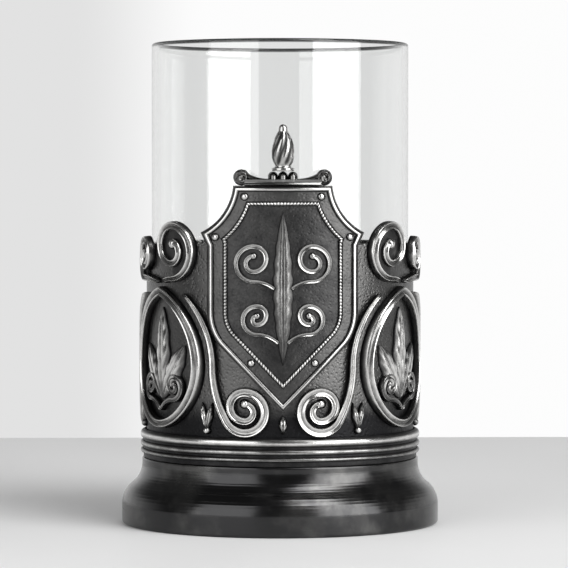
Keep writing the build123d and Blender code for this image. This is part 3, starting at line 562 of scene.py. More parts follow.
def leaf(azimuth, foot, lean, length, width, base_r, rise, vein, lobes=4, bulge=0.9):
    """Carved leaf from its foot along a lean off the upright. Along it t runs from 0 to 1 and its half
    width is sin(pi t)^bulge, notched by its lobes; across it c runs from -1 to 1 and the height is
    sqrt(1 - c^2), cut by a groove along the middle and by slanting veins."""
    t = (0.5 - 0.5 * np.cos(np.linspace(0, pi, 49)))[:, None]
    c = np.sin(np.linspace(-pi / 2, pi / 2, 25))
    notch = 1 - 0.16 * (0.5 - 0.5 * np.cos(2 * pi * lobes * t)) * np.sin(pi * t)
    wide = width / 2 * np.sin(pi * t) ** bulge * notch
    body = np.sqrt(1 - c**2)
    groove = vein * np.exp(-((c / 0.16) ** 2))
    wave = 0.5 - 0.5 * np.cos(2 * pi * (lobes * 1.5 * t - 1.6 * np.abs(c)))
    slant = vein * 0.8 * wave * np.abs(c) * body
    h = np.clip(body - groove - slant, 0, 1) * np.sin(pi * t) ** 0.35
    c = np.concatenate([c, c[-2:0:-4]])
    h = np.concatenate([h, np.zeros((t.size, c.size - h.shape[1]))], axis=1)
    along, aside = length * t, wide * c
    u = foot[0] + along * sin(lean) + aside * cos(lean)
    z = foot[1] + along * cos(lean) - aside * sin(lean)
    return Patch(on_wall(azimuth, u, z, base_r + rise * h), h, wrap_columns=True)


def stacked(azimuth, outline, insets, radii, relief, closed=False):
    """Border or moulding: the outline drawn in by each inset and laid at each radius in turn, and back
    to the first where it is closed."""
    rows = [on_wall(azimuth, *outline(inset).T, radius) for inset, radius in zip(insets, radii)]
    return Patch(np.stack(rows, axis=1), relief, wrap_rows=True, wrap_columns=closed)


def fan(azimuth, edge, middle, shares, radius, relief):
    """Rings between a middle and the star-shaped edge round it, laid on the wall at a radius:
    middle + t (edge - middle) for each share t."""
    flat = middle + (edge[:, None] - middle) * shares[None, :, None]
    return Patch(on_wall(azimuth, flat[..., 0], flat[..., 1], radius), relief, wrap_rows=True)


def cap(ring, relief):
    """Flat end over a ring of points: middle + t (ring - middle), t from 1 to 0."""
    middle = ring.mean(axis=0)
    fill = middle + (ring[:, None] - middle) * np.array([1.0, 0.0])[None, :, None]
    return Patch(fill, relief, wrap_rows=True)


def squared(wave, power):
    """Sine or cosine made squarer: its sign times its size to a power."""
    return np.sign(wave) * np.abs(wave) ** power


def plate(azimuth, edge, base_r, top_r, relief):
    """Thin plate on the wall with a star-shaped edge: a fan out along its underside and back along
    its top."""
    shares = np.concatenate([[0.0, 1.0], np.linspace(1.0, 0.0, 14)])
    radii = np.where(np.arange(shares.size) < 2, base_r, top_r)
    return fan(azimuth, edge, edge.mean(axis=0), shares, radii[None], relief)


# Finishes, whose noise scales are in cells per metre and bump heights in metres

def new_material(name):
    """Node material; returns it, its node tree and its Principled shader."""
    material = bpy.data.materials.new(name)
    material.use_nodes = True
    return material, material.node_tree, material.node_tree.nodes["Principled BSDF"]


def place_on_piece(tree):
    """Socket of the object coordinates."""
    return tree.nodes.new("ShaderNodeTexCoord").outputs["Object"]


def relief_on_piece(tree):
    """Socket of the relief attribute."""
    node = tree.nodes.new("ShaderNodeAttribute")
    node.attribute_name = "relief"
    return node.outputs["Fac"]


def new_group(name, inputs, outputs):
    """Node group with float or colour sockets; returns the group and its two end nodes."""
    group = bpy.data.node_groups.new(name, "ShaderNodeTree")
    for label, kind in inputs:
        group.interface.new_socket(label, in_out="INPUT", socket_type=kind)
    for label, kind in outputs:
        group.interface.new_socket(label, in_out="OUTPUT", socket_type=kind)
    return group, group.nodes.new("NodeGroupInput"), group.nodes.new("NodeGroupOutput")


def add_noise(tree, scale, detail, coordinates, roughness=0.6):
    """Noise texture on the given coordinates; returns its factor socket."""
    node = tree.nodes.new("ShaderNodeTexNoise")
    node.inputs["Scale"].default_value = scale
    node.inputs["Detail"].default_value = detail
    node.inputs["Roughness"].default_value = roughness
    tree.links.new(coordinates, node.inputs["Vector"])
    return node.outputs["Fac"]


def add_math(tree, operation, first, second, clamp=False):
    """Math node on two sockets or numbers; returns its result socket."""
    node = tree.nodes.new("ShaderNodeMath")
    node.operation = operation
    node.use_clamp = clamp
    for socket, value in zip(node.inputs, (first, second)):
        if isinstance(value, (int, float)):
            socket.default_value = value
        else:
            tree.links.new(value, socket)
    return node.outputs[0]


def add_range(tree, value, low, high, to_low, to_high):
    """Smooth remapping of a value from one range to another; returns its result socket."""
    node = tree.nodes.new("ShaderNodeMapRange")
    node.interpolation_type = "SMOOTHSTEP"
    labels = ("From Min", "From Max", "To Min", "To Max")
    for label, number in zip(labels, (low, high, to_low, to_high)):
        node.inputs[label].default_value = number
    tree.links.new(value, node.inputs["Value"])
    return node.outputs["Result"]


def add_mix(tree, factor, first, second):
    """Mix of two colours, each a socket or three numbers, by a factor; returns its result socket."""
    node = tree.nodes.new("ShaderNodeMix")
    node.data_type = "RGBA"
    tree.links.new(factor, node.inputs["Factor"])
    for label, value in (("A", first), ("B", second)):
        if isinstance(value, bpy.types.NodeSocket):
            tree.links.new(value, node.inputs[label])
        else:
            node.inputs[label].default_value = (*value, 1.0)
    return node.outputs["Result"]


# Relief at which the metal leaves the recess tone, reaches the middle one and is polished
TONE_LEVELS = (0.12, 0.62, 1.05)


def patina_group():
    """Toning shared by all the chased metal: the relief, broken up by two noises, blends recess, middle
    and polished colours, and sets roughness; the height adds fine tooling marks and pitting."""
    colours = [(label, "NodeSocketColor") for label in ("Recess", "Middle", "Polished")]
    group, given, result = new_group(
        "Patina",
        [("Relief", "NodeSocketFloat"), *colours],
        [("Color", "NodeSocketColor"), ("Roughness", "NodeSocketFloat"), ("Height", "NodeSocketFloat")],
    )
    place = place_on_piece(group)
    blotch = add_noise(group, 260.0, 4.0, place)
    fine = add_noise(group, 1900.0, 3.0, place)
    coarse_part, fine_part = (
        add_math(group, "MULTIPLY", noise, part) for noise, part in ((blotch, 0.34), (fine, 0.16))
    )
    uneven = add_math(group, "ADD", coarse_part, fine_part)
    toned = add_math(group, "ADD", given.outputs["Relief"], add_math(group, "SUBTRACT", uneven, 0.25))
    dark, even, bright = TONE_LEVELS
    slope = add_range(group, toned, dark, even, 0.0, 1.0)
    lower = add_mix(group, slope, given.outputs["Recess"], given.outputs["Middle"])
    rubbed = add_range(group, toned, even, bright, 0.0, 1.0)
    group.links.new(add_mix(group, rubbed, lower, given.outputs["Polished"]), result.inputs["Color"])
    rough = add_range(group, toned, 0.1, 1.0, 0.46, 0.2)
    smear = add_math(group, "MULTIPLY", add_math(group, "SUBTRACT", blotch, 0.5), 0.16)
    group.links.new(add_math(group, "ADD", rough, smear, clamp=True), result.inputs["Roughness"])
    grain = add_math(group, "ADD", fine, add_math(group, "MULTIPLY", blotch, 0.5))
    group.links.new(grain, result.inputs["Height"])
    return group


def add_bump(tree, shader, height, distance, strength):
    """Bump of a height into a shader's normal."""
    node = tree.nodes.new("ShaderNodeBump")
    node.inputs["Strength"].default_value = strength
    node.inputs["Distance"].default_value = distance
    tree.links.new(height, node.inputs["Height"])
    tree.links.new(node.outputs["Normal"], shader.inputs["Normal"])


def metal(name, toned=1.0, bump=0.25, punched=0.0):
    """The holder's chased metal, made once under each name. Its high places are rubbed bright, after the
    piece's relief; toned scales its colours, and a punched ground adds small round pits."""
    found = bpy.data.materials.get(name)
    if found:
        return found
    finish = bpy.context.scene.holder_finish
    material, tree, shader = new_material(name)
    patina = tree.nodes.new("ShaderNodeGroup")
    patina.node_tree = bpy.data.node_groups.get("Patina") or patina_group()
    tree.links.new(relief_on_piece(tree), patina.inputs["Relief"])
    for label, tone, part in (
        ("Recess", finish.recess, 1.0),
        ("Middle", finish.middle, toned),
        ("Polished", finish.polished, toned),
    ):
        patina.inputs[label].default_value = (*[v * part for v in tone], 1.0)
    shader.inputs["Metallic"].default_value = 1.0
    tree.links.new(patina.outputs["Color"], shader.inputs["Base Color"])
    tree.links.new(patina.outputs["Roughness"], shader.inputs["Roughness"])
    height = patina.outputs["Height"]
    if punched:
        pits = tree.nodes.new("ShaderNodeTexVoronoi")
        pits.inputs["Scale"].default_value = 1150.0
        tree.links.new(place_on_piece(tree), pits.inputs["Vector"])
        pit = add_range(tree, pits.outputs["Distance"], 0.1, 0.55, 0.0, punched)
        height = add_math(tree, "ADD", height, pit)
    add_bump(tree, shader, height, distance=0.06 * MM, strength=bump)
    return material


def foot_metal():
    """Blackened glossy metal: faint rubbed clouds, turning lines round the axis and fine scratches."""
    finish = bpy.context.scene.holder_finish
    material, tree, shader = new_material("blackened_foot")
    place = place_on_piece(tree)
    cloud = add_noise(tree, 55.0, 5.0, place)
    squeeze = tree.nodes.new("ShaderNodeMapping")
    squeeze.inputs["Scale"].default_value = (60.0, 60.0, 2600.0)
    tree.links.new(place, squeeze.inputs["Vector"])
    lines = add_noise(tree, 1.0, 3.0, squeeze.outputs["Vector"])
    worn = add_range(tree, cloud, 0.45, 0.72, 0.0, 1.0)
    tree.links.new(add_mix(tree, worn, finish.foot, finish.foot_worn), shader.inputs["Base Color"])
    dull = add_range(tree, cloud, 0.3, 0.75, 0.1, 0.22)
    rough = add_math(tree, "ADD", add_math(tree, "MULTIPLY", lines, 0.12), dull)
    tree.links.new(rough, shader.inputs["Roughness"])
    shader.inputs["Metallic"].default_value = 1.0
    add_bump(tree, shader, lines, distance=0.03 * MM, strength=0.2)
    return material


def plain_metal():
    """Dull inner metal with a cast grain, for the pieces under the glass and the foot."""
    finish = bpy.context.scene.holder_finish
    material, tree, shader = new_material("inner_metal")
    place = place_on_piece(tree)
    cloud = add_noise(tree, 90.0, 5.0, place)
    tree.links.new(add_mix(tree, cloud, finish.foot, finish.inside), shader.inputs["Base Color"])
    tree.links.new(add_range(tree, cloud, 0.3, 0.7, 0.3, 0.5), shader.inputs["Roughness"])
    shader.inputs["Metallic"].default_value = 1.0
    grain = add_noise(tree, 700.0, 3.0, place)
    add_bump(tree, shader, grain, distance=0.05 * MM, strength=0.2)
    return material


def clear_glass():
    """Clear glass with its rim painted dark as a painted reflection, faint smears in its polish and a slight
    waviness of its wall.
    """
    finish = bpy.context.scene.holder_finish
    material, tree, shader = new_material("clear_glass")
    place = place_on_piece(tree)
    # Painted reflection: the relief tints the clear glass towards the painted dark rim colour
    tint = add_mix(tree, relief_on_piece(tree), finish.glass, finish.glass_rim_painted_reflection)
    tree.links.new(tint, shader.inputs["Base Color"])
    shader.inputs["Transmission Weight"].default_value = 1.0
    shader.inputs["IOR"].default_value = 1.5
    smear = add_noise(tree, 40.0, 4.0, place)
    tree.links.new(add_range(tree, smear, 0.45, 0.8, 0.0, 0.05), shader.inputs["Roughness"])
    waves = add_noise(tree, 14.0, 1.0, place)
    add_bump(tree, shader, waves, distance=0.4 * MM, strength=0.05)
    return material


# Operators, one for each piece or group of like pieces

def seat_radius(scene):
    """Radius that the wall's relief is soldered on."""
    return SLEEVE_R + scene.holder_wall.sleeve_gap


def relief_piece(name, patches, node):
    """Piece of the wall's relief, in the metal that all of it shares."""
    make_piece(name, patches, metal("relief_metal"), node)


class HOLDER_OT_glass(Operator):
    """Straight thin-walled tea glass with a rounded rim and a thick floor"""

    bl_idname = "holder.glass"
    bl_label = "Tea glass"

    def execute(self, context):
        s = context.scene.holder_wall
        bore, floor = GLASS_R - s.glass_wall, GLASS_LOW + s.glass_floor
        lip, heel = GLASS_HIGH - s.glass_wall / 2, s.glass_heel
        profile = join(
            line((0.0, GLASS_LOW), (GLASS_R - heel, GLASS_LOW), 8),
            arc((GLASS_R - heel, GLASS_LOW + heel), heel, -pi / 2, 0.0, 10),
            line((GLASS_R, GLASS_LOW + heel), (GLASS_R, lip - s.rim_reflection_fade), 40),
            line((GLASS_R, lip - s.rim_reflection_fade), (GLASS_R, lip), 4),
            arc((GLASS_R - s.glass_wall / 2, lip), s.glass_wall / 2, 0.0, pi, 16),
            line((bore, lip), (bore, lip - s.rim_reflection_fade), 4),
            line((bore, lip - s.rim_reflection_fade), (bore, floor + heel), 40),
            arc((bore - heel, floor + heel), heel, 0.0, -pi / 2, 10),
            line((bore - heel, floor), (0.0, floor), 8),
        )
        # Painted reflection: 1 over the rim's round, falling to 0 over the fade below it, where the glass is
        # painted dark
        rim = ease((profile[:, 1] - lip + s.rim_reflection_fade) / s.rim_reflection_fade)
        shell = revolve(profile, rim[None])
        make_piece("glass_body", [shell], clear_glass(), "tea_glass", body="glass")
        return {"FINISHED"}


class HOLDER_OT_foot(Operator):
    """Spun foot that flares from its neck to an upright rim, with fine rings along its curve"""

    bl_idname = "holder.foot"
    bl_label = "Foot"

    def execute(self, context):
        s = context.scene.holder_wall
        ogee_high = FOOT_HIGH - s.neck_drop
        middle = ((s.neck_radius + FOOT_R) / 2, (ogee_high + s.foot_rim) / 2)
        upper = tangent_arc((s.neck_radius, ogee_high), middle, (0, -1), 60)
        lower = tangent_arc((FOOT_R, s.foot_rim), middle, (0, 1), 60)[::-1]
        curve = join(upper, lower)
        normal, length = directions(curve)
        fade = np.sin(pi * length / length[-1])
        rings = s.ring_rise * fade * np.abs(np.sin(length / s.ring_pitch * pi)) ** 6
        curve = curve + normal * rings[:, None]
        edge, soft = s.foot_edge, s.neck_edge
        inner_r, inner_neck = FOOT_R - s.foot_wall, s.neck_radius - s.foot_wall
        flange_low = FOOT_HIGH - s.flange_thick
        profile = join(
            line((s.flange_radius, FOOT_HIGH), (s.neck_radius - soft, FOOT_HIGH), 6),
            arc((s.neck_radius - soft, FOOT_HIGH - soft), soft, pi / 2, 0.0, 6),
            line((s.neck_radius, FOOT_HIGH - soft), (s.neck_radius, ogee_high), 4),
            curve,
            line((FOOT_R, s.foot_rim), (FOOT_R, edge), 6),
            arc((FOOT_R - edge, edge), edge, 0.0, -pi / 2, 10),
            line((FOOT_R - edge, 0.0), (inner_r, 0.0), 3),
            line((inner_r, 0.0), (inner_r, s.foot_rim), 3),
            line((inner_r, s.foot_rim), (inner_neck, ogee_high), 8),
            line((inner_neck, ogee_high), (inner_neck, flange_low), 3),
            line((inner_neck, flange_low), (s.flange_radius, flange_low), 3),
        )
        make_piece("foot_bell", [revolve(profile, relief=0.3)], foot_metal(), "foot_skirt")
        return {"FINISHED"}


class HOLDER_OT_inner_pieces(Operator):
    """Finish for the base plate and the seat under the glass"""

    bl_idname = "holder.inner_pieces"
    bl_label = "Base plate and seat"

    def execute(self, context):
        dull = plain_metal()
        for node in ("foot_base_plate", "seat_cup"):
            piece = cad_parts[node]
            piece.data.materials.clear()
            piece.data.materials.append(dull)
        return {"FINISHED"}


class HOLDER_OT_collar(Operator):
    """Band round the wall's lower end with three half-round wires"""

    bl_idname = "holder.collar"
    bl_label = "Collar"

    def execute(self, context):
        s = context.scene.holder_wall
        seat = seat_radius(context.scene)
        soft = s.collar_edge
        band = join(
            line((seat, COLLAR_LOW), (COLLAR_R - soft, COLLAR_LOW), 3),
            arc((COLLAR_R - soft, COLLAR_LOW + soft), soft, -pi / 2, 0.0, 5),
            line((COLLAR_R, COLLAR_LOW + soft), (COLLAR_R, COLLAR_HIGH - soft), 16),
            arc((COLLAR_R - soft, COLLAR_HIGH - soft), soft, 0.0, pi / 2, 5),
            line((COLLAR_R - soft, COLLAR_HIGH), (seat, COLLAR_HIGH), 3),
        )
        sheet = revolve(band, relief=0.22)
        make_piece("collar_sheet", [sheet], metal("collar_metal"), "collar_band")
        a = np.linspace(-pi / 2, pi / 2, 21)
        for place, rubbed in (("upper", 0.68), ("middle", 0.5), ("lower", 0.46)):
            node = f"collar_{place}_bead"
            low, high = heights(node)
            z = (low + high) / 2 + (high - low) / 2 * np.sin(a)
            profile = np.stack([COLLAR_R + s.bead_rise * np.cos(a), z], axis=1)
            wire = revolve(profile, (0.3 + rubbed * np.cos(a) ** 3)[None])
            make_piece(f"collar_{place}_wire", [wire], metal("collar_metal"), node)
        return {"FINISHED"}


class HOLDER_OT_wall(Operator):
    """Sheet sleeve round the glass, with a matted dark ground"""

    bl_idname = "holder.wall"
    bl_label = "Wall sleeve"

    def execute(self, context):
        s = context.scene.holder_wall
        bore, lip = SLEEVE_R - s.sleeve_wall, s.sleeve_wall / 2
        profile = join(
            line((bore, SLEEVE_LOW), (SLEEVE_R, SLEEVE_LOW), 3),
            line((SLEEVE_R, SLEEVE_LOW), (SLEEVE_R, SLEEVE_HIGH - lip), 60),
            arc((SLEEVE_R - lip, SLEEVE_HIGH - lip), lip, 0.0, pi, 12),
            line((bore, SLEEVE_HIGH - lip), (bore, SLEEVE_LOW), 12),
        )
        # Painted shade: darkest just above the collar, lighter over the shade rise above it
        shade = 0.06 + 0.46 * ease((profile[:, 1] - COLLAR_HIGH - s.shade_low) / s.shade_rise)
        relief = np.maximum(shade, ease((profile[:, 1] - SLEEVE_HIGH + 2 * lip) / (2 * lip)))
        ground = metal("wall_metal", bump=0.5, punched=2.0)
        sheet = revolve(profile, relief[None], segments=240)
        make_piece("wall_sheet", [sheet], ground, "wall_sleeve")
        return {"FINISHED"}


def shield_outline(inset):
    """Closed outline of the shield drawn in by an inset: each edge moves inwards by it, and the corners
    are where the moved edges meet. The scoop's circle grows by the inset and the bend's shrinks."""
    s = bpy.context.scene.holder_shield
    top, shoulder = np.array([s.top_half, SHIELD_HIGH]), np.array([s.shoulder_half, s.shoulder_high])
    chord = shoulder - top
    span = np.linalg.norm(chord)
    scoop_r = (span**2 / 4 + s.scoop**2) / (2 * s.scoop)
    scoop_c = (top + shoulder) / 2 + np.array([-chord[1], chord[0]]) / span * (scoop_r - s.scoop)
    scoop_r += inset
    top_z = SHIELD_HIGH - inset
    corner = (scoop_c[0] - sqrt(scoop_r**2 - (top_z - scoop_c[1]) ** 2), top_z)
    ear_run = np.array([s.side_half, s.side_high]) - shoulder
    ear_run /= np.linalg.norm(ear_run)
    ear_start = shoulder + inset * np.array([ear_run[1], -ear_run[0]])
    ear_shoulder = meet_circle(ear_start, ear_run, scoop_c, scoop_r)
    side_u = s.side_half - inset
    ear = ear_start + ear_run * (side_u - ear_start[0]) / ear_run[0]
    fall = s.side_low - s.bend_high
    bend_r = ((s.side_half - s.bend_half) ** 2 + fall**2) / (2 * (s.side_half - s.bend_half))
    bend_c = np.array([s.side_half - bend_r, s.side_low])
    point_run = np.array([-s.bend_half, SHIELD_LOW - s.bend_high])
    point_run /= np.linalg.norm(point_run)
    point_start = np.array([s.bend_half, s.bend_high]) + inset * np.array([point_run[1], -point_run[0]])
    bend = meet_circle(point_start, point_run, bend_c, bend_r - inset)
    tip = point_start + point_run * (-point_start[0] / point_run[0])
    scoop_from, scoop_to = (bearing(end - scoop_c) % (2 * pi) for end in (corner, ear_shoulder))
    half = join(
        line((0.0, top_z), corner, 14),
        arc(scoop_c, scoop_r, scoop_from, scoop_to, 18),
        line(ear_shoulder, ear, 5),
        line(ear, (side_u, s.side_low), 16),
        arc(bend_c, bend_r - inset, 0.0, bearing(bend - bend_c), 10),
        line(bend, tip, 26),
    )
    return both_sides(half)


def meet_circle(start, run, centre, radius):
    """First point ahead on a straight run, or behind it if nearer, that lies on a circle."""
    offset = start - centre
    b = offset @ run
    root = sqrt(b * b - offset @ offset + radius**2)
    ahead = min((-b + root, -b - root), key=abs)
    return start + run * ahead


class HOLDER_OT_shield(Operator):
    """Curved shield plate with its two mouldings, the inner one pearled"""

    bl_idname = "holder.shield"
    bl_label = "Shield"

    def execute(self, context):
        s = context.scene.holder_shield
        seat = seat_radius(context.scene)
        soft = s.plate_edge
        field = s.inner_inset + s.inner_width / 2
        insets = [0.0, 0.0, soft * 0.3, soft, s.outer_inset + s.outer_width, s.inner_inset, field]
        radii = [seat, PLATE_R - soft, PLATE_R - soft * 0.3, PLATE_R, PLATE_R, PLATE_R, PLATE_R]
        relief = np.array([0.1, 0.6, 0.7, 0.6, 0.45, 0.45, 0.36])[None]
        rim = stacked(0.0, shield_outline, insets, radii, relief)
        inner, outer = shield_outline(field), shield_outline(0.0)
        middle = np.array([0.0, inner[:, 1].mean()])
        shares = np.linspace(1.0, 0.0, 24)
        front = fan(0.0, inner, middle, shares, PLATE_R, relief=0.32)
        back = fan(0.0, outer, middle, shares, seat, relief=0.1)
        ground = metal("shield_ground", bump=0.45, punched=1.4)
        make_piece("shield_body", [rim, front, back], ground, "shield_plate")
        self.make_moulding(s, "outer", s.outer_inset, s.outer_width)
        self.make_moulding(s, "inner", s.inner_inset, s.inner_width, s.pearls)
        return {"FINISHED"}

    def make_moulding(self, s, name, inset, width, pearls=0):
        """Half-round carried along the shield's outline: height rise * sin(a) over its width; pearls
        raise it in even waves, |sin(pi * pearls * share of the length)|^0.7."""
        a = np.linspace(0.0, pi, 15)
        paths, along = moulding_paths(inset + width / 2 * (1 - np.cos(a)))
        pearl = np.ones((along.size, 1))
        if pearls:
            pearl = 0.62 + 0.38 * np.abs(np.sin(pi * pearls * along[:, None])) ** 0.7
        height = s.moulding_rise * np.sin(a)[None] * pearl
        points = on_wall(0.0, paths[..., 0], paths[..., 1], PLATE_R + height)
        tops = (0.3 + 0.7 * np.sin(a)[None] ** 4) * (0.5 + 0.5 * pearl)
        moulding = Patch(points, tops, wrap_rows=True, wrap_columns=True)
        node = f"shield_{name}_moulding"
        make_piece(f"shield_{name}_rim", [moulding], metal("shield_metal"), node)


def moulding_paths(insets, steps=1200):
    """The shield's outline at each inset, resampled evenly by the length of the middle one: an array
    of (place, inset, uz), and each place as a share of the length."""
    outlines = np.stack([shield_outline(float(i)) for i in insets], axis=1)
    outlines = np.concatenate([outlines, outlines[:1]])
    middle = outlines[:, outlines.shape[1] // 2]
    length = np.concatenate([[0.0], np.cumsum(np.linalg.norm(np.diff(middle, axis=0), axis=1))])
    share_along = np.linspace(0.0, 1.0, steps, endpoint=False)
    places = share_along * length[-1]
    cell = np.clip(np.searchsorted(length, places, side="right") - 1, 0, len(length) - 2)
    step = np.maximum(length[cell + 1] - length[cell], 1e-9)
    part = ((places - length[cell]) / step)[:, None, None]
    return outlines[cell] * (1 - part) + outlines[cell + 1] * part, share_along


class HOLDER_OT_spray(Operator):
    """Spray on the shield's field, a tall leaf with two pairs of curls, and the leaf under its tip"""

    bl_idname = "holder.spray"
    bl_label = "Shield spray and tip leaf"

    def execute(self, context):
        s, o = context.scene.holder_shield, context.scene.holder_ornament
        foot, length = (0.0, s.spray_low), s.spray_high - s.spray_low
        rise, bulge, lobes = s.spray_rise, 0.8, 9
        # Share of the leaf's half width under which a stalk starts
        hidden = 0.7
        patches = [leaf(0.0, foot, 0.0, length, s.spray_leaf, PLATE_R, rise, o.vein, lobes, bulge)]
        inner = s.spray_leaf / 2 + s.spray_gap + s.spray_ribbon / 2
        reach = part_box("shield_spray")[1].x
        upper_r = (reach - s.spray_ribbon / 2 - inner + s.spray_step) / 2
        widths = (0.6, 0.9, 1.0, 0.9)
        for height, radius in ((s.spray_upper, upper_r), (s.spray_lower, s.spray_lower_curl)):
            run, root = inner + radius - s.spray_step, height - radius
            leaf_half = s.spray_leaf / 2 * sin(pi * (root - s.spray_low) / length) ** bulge
            for side in (-1, 1):
                start = (side * run, height)
                stalk = tangent_arc(start, (0.0, root), (-side, 0), 48)[::-1]
                stalk = stalk[np.abs(stalk[:, 0]) > leaf_half * hidden]
                path = join(stalk, half_turns(start, radius, s.spray_step, side))
                patches += [
                    ribbon(0.0, path, s.spray_ribbon / 2, PLATE_R, rise, o.hollow * 0.6, widths),
                    button(0.0, path[-1], s.spray_eye, PLATE_R, rise),
                ]
        make_piece("shield_leafwork", patches, metal("spray_metal", toned=0.62), "shield_spray")
        seat = seat_radius(context.scene)
        low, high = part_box("shield_tip_leaf")
        foot, length, width = (0.0, low.z), high.z - low.z, high.x - low.x
        tip = leaf(0.0, foot, 0.0, length, width, seat, o.leaf_rise, o.vein, lobes=2)
        relief_piece("tip_leaf", [tip], "shield_tip_leaf")
        return {"FINISHED"}


class HOLDER_OT_rivets(Operator):
    """Round rivet heads in the shield's border and on the handle's plate"""

    bl_idname = "holder.rivets"
    bl_label = "Rivets"

    def execute(self, context):
        s, h = context.scene.holder_shield, context.scene.holder_handle
        slope = (s.bend_high - SHIELD_LOW) / s.bend_half
        low = SHIELD_LOW + slope * s.bend_half / 2 + s.rivet_inset * hypot(1, slope)
        border = shield_outline(s.rivet_inset)
        shield_places = (
            (s.top_half - s.rivet_inset, SHIELD_HIGH - s.rivet_inset),
            border[border[:, 0].argmax()],
            (s.bend_half / 2, low),
        )
        plate_u = h.plate_half - h.rivet_inset
        plate_places = (
            (plate_u, HANDLE_PLATE_LOW + h.plate_tip + h.rivet_inset),
            (plate_u, HANDLE_PLATE_HIGH - h.rivet_inset),
        )
        for name, azimuth, places in (("shield", 0.0, shield_places), ("handle", pi, plate_places)):
            heads = [
                button(azimuth, (side * u, z), s.rivet_head, PLATE_R, s.rivet_rise, roundness=2.0)
                for u, z in places
                for side in (-1, 1)
            ]
            make_piece(f"{name}_rivet_heads", heads, metal("rivet_metal"), f"{name}_rivets")
        return {"FINISHED"}


# The finial's profile, from its foot to its tip: shares of its height and of its radius
FINIAL_PROFILE = np.array([
    (0.0, 0.9), (0.02, 0.97), (0.075, 0.97), (0.085, 0.72), (0.12, 0.7), (0.2, 0.86), (0.3, 0.97),
    (0.42, 1.0), (0.55, 0.94), (0.68, 0.78), (0.78, 0.58), (0.85, 0.4), (0.9, 0.39), (0.95, 0.34),
    (0.985, 0.2), (1.0, 0.0),
])


class HOLDER_OT_crest(Operator):
    """Scroll-ended bar on the shield's top edge and the twisted bud finial on it"""

    bl_idname = "holder.crest"
    bl_label = "Crest bar and finial"

    def execute(self, context):
        s = context.scene.holder_shield
        seat = seat_radius(context.scene)
        rise = CREST_R - seat
        end = s.top_half - s.crest_scroll
        bar_z = SHIELD_HIGH + s.crest_height / 2
        bar = line((-end, bar_z), (end, bar_z), 40)
        patches = [ribbon(0.0, bar, s.crest_height / 2, seat, rise, hollow=0.12)]
        for side in (-1, 1):
            centre = (side * end, SHIELD_HIGH + s.crest_scroll)
            patches.append(button(0.0, centre, s.crest_scroll, seat, rise, spiral=0.22, roundness=6.0))
        block_corner = (s.crest_block_half, SHIELD_HIGH + s.crest_height)
        sweep = tangent_arc(block_corner, (end, SHIELD_HIGH + 2 * s.crest_scroll), (1, 0))
        sweep[:, 1] -= np.linspace(s.sweep_taper, 1.0, len(sweep)) * s.sweep_half
        widths = (s.sweep_taper, 1.0)
        for side in (-1, 1):
            path = sweep * (side, 1)
            patches.append(ribbon(0.0, path, s.sweep_half, seat, rise * 0.95, hollow=0.2, widths=widths))
        for number in (-1, 0, 1):
            u = number * s.crest_block_half * 2 / 3
            reed = line((u, SHIELD_HIGH), (u, SHIELD_HIGH + s.crest_block_height), 14)
            half = s.crest_block_half / 3
            patches.append(ribbon(0.0, reed, half, seat, rise * 0.97, hollow=0.0, section=dome))
        make_piece("crest_scroll_bar", patches, metal("crest_metal", toned=0.3), "crest_bar")
        self.make_finial(s)
        return {"FINISHED"}

    def make_finial(self, s):
        """Bud turned from its profile; flutes that wind round it draw its radius in by depth *
        (1 - |sin(flutes * (angle - twist * height share / 2) / 2)|^0.8) between its foot and its tip."""
        # A little slimmer than the solid, so that the facets stay inside it
        radius = outer_radius("crest_finial") * 0.985
        top, segments = FINIAL_HIGH - FINIAL_LOW, 112
        fine = np.linspace(0.0, 1.0, 90)
        curve = np.stack([np.interp(fine, *FINIAL_PROFILE.T) * radius, FINIAL_LOW + top * fine], axis=1)
        profile = join(np.array([[0.0, FINIAL_LOW]]), curve)

        def flutes(angle, height):
            t = np.clip((height - FINIAL_LOW) / top, 0.0, 1.0)
            inside = ease((t - 0.1) / 0.12) * ease((0.88 - t) / 0.1)
            wave = np.abs(np.sin(s.finial_flutes * (angle - s.finial_twist * t / 2) / 2)) ** 0.8
            return 1 - s.flute_depth * inside * (1 - wave)

        a = np.linspace(0.0, 2 * pi, segments, endpoint=False)[:, None]
        relief = 0.2 + 0.75 * (flutes(a, profile[None, :, 1]) - 1 + s.flute_depth) / s.flute_depth
        bud = revolve(profile, relief, segments, FINIAL_AXIS_Y, flutes)
        make_piece("finial_bud", [bud], metal("finial_metal", toned=0.68), "crest_finial")


def egg_outline(inset):
    """Closed egg outline drawn in by an inset: below the waist half an ellipse, above it two circular
    arcs that meet in a point."""
    o = bpy.context.scene.holder_ornament
    half, waist = o.medallion_half, o.medallion_waist
    up, down = o.medallion_high - waist, waist - o.medallion_low
    radius = (half**2 + up**2) / (2 * half)
    inner = radius - inset
    top = np.arccos((radius - half) / inner)
    right = arc((half - radius, waist), inner, 0.0, top, 40)
    a = np.linspace(pi, 2 * pi, 60)
    lower = np.stack([(half - inset) * np.cos(a), waist + (down - inset) * np.sin(a)], axis=1)
    left = right[::-1] * (-1, 1)
    return np.concatenate([right, left[1:], lower[1:-1]])


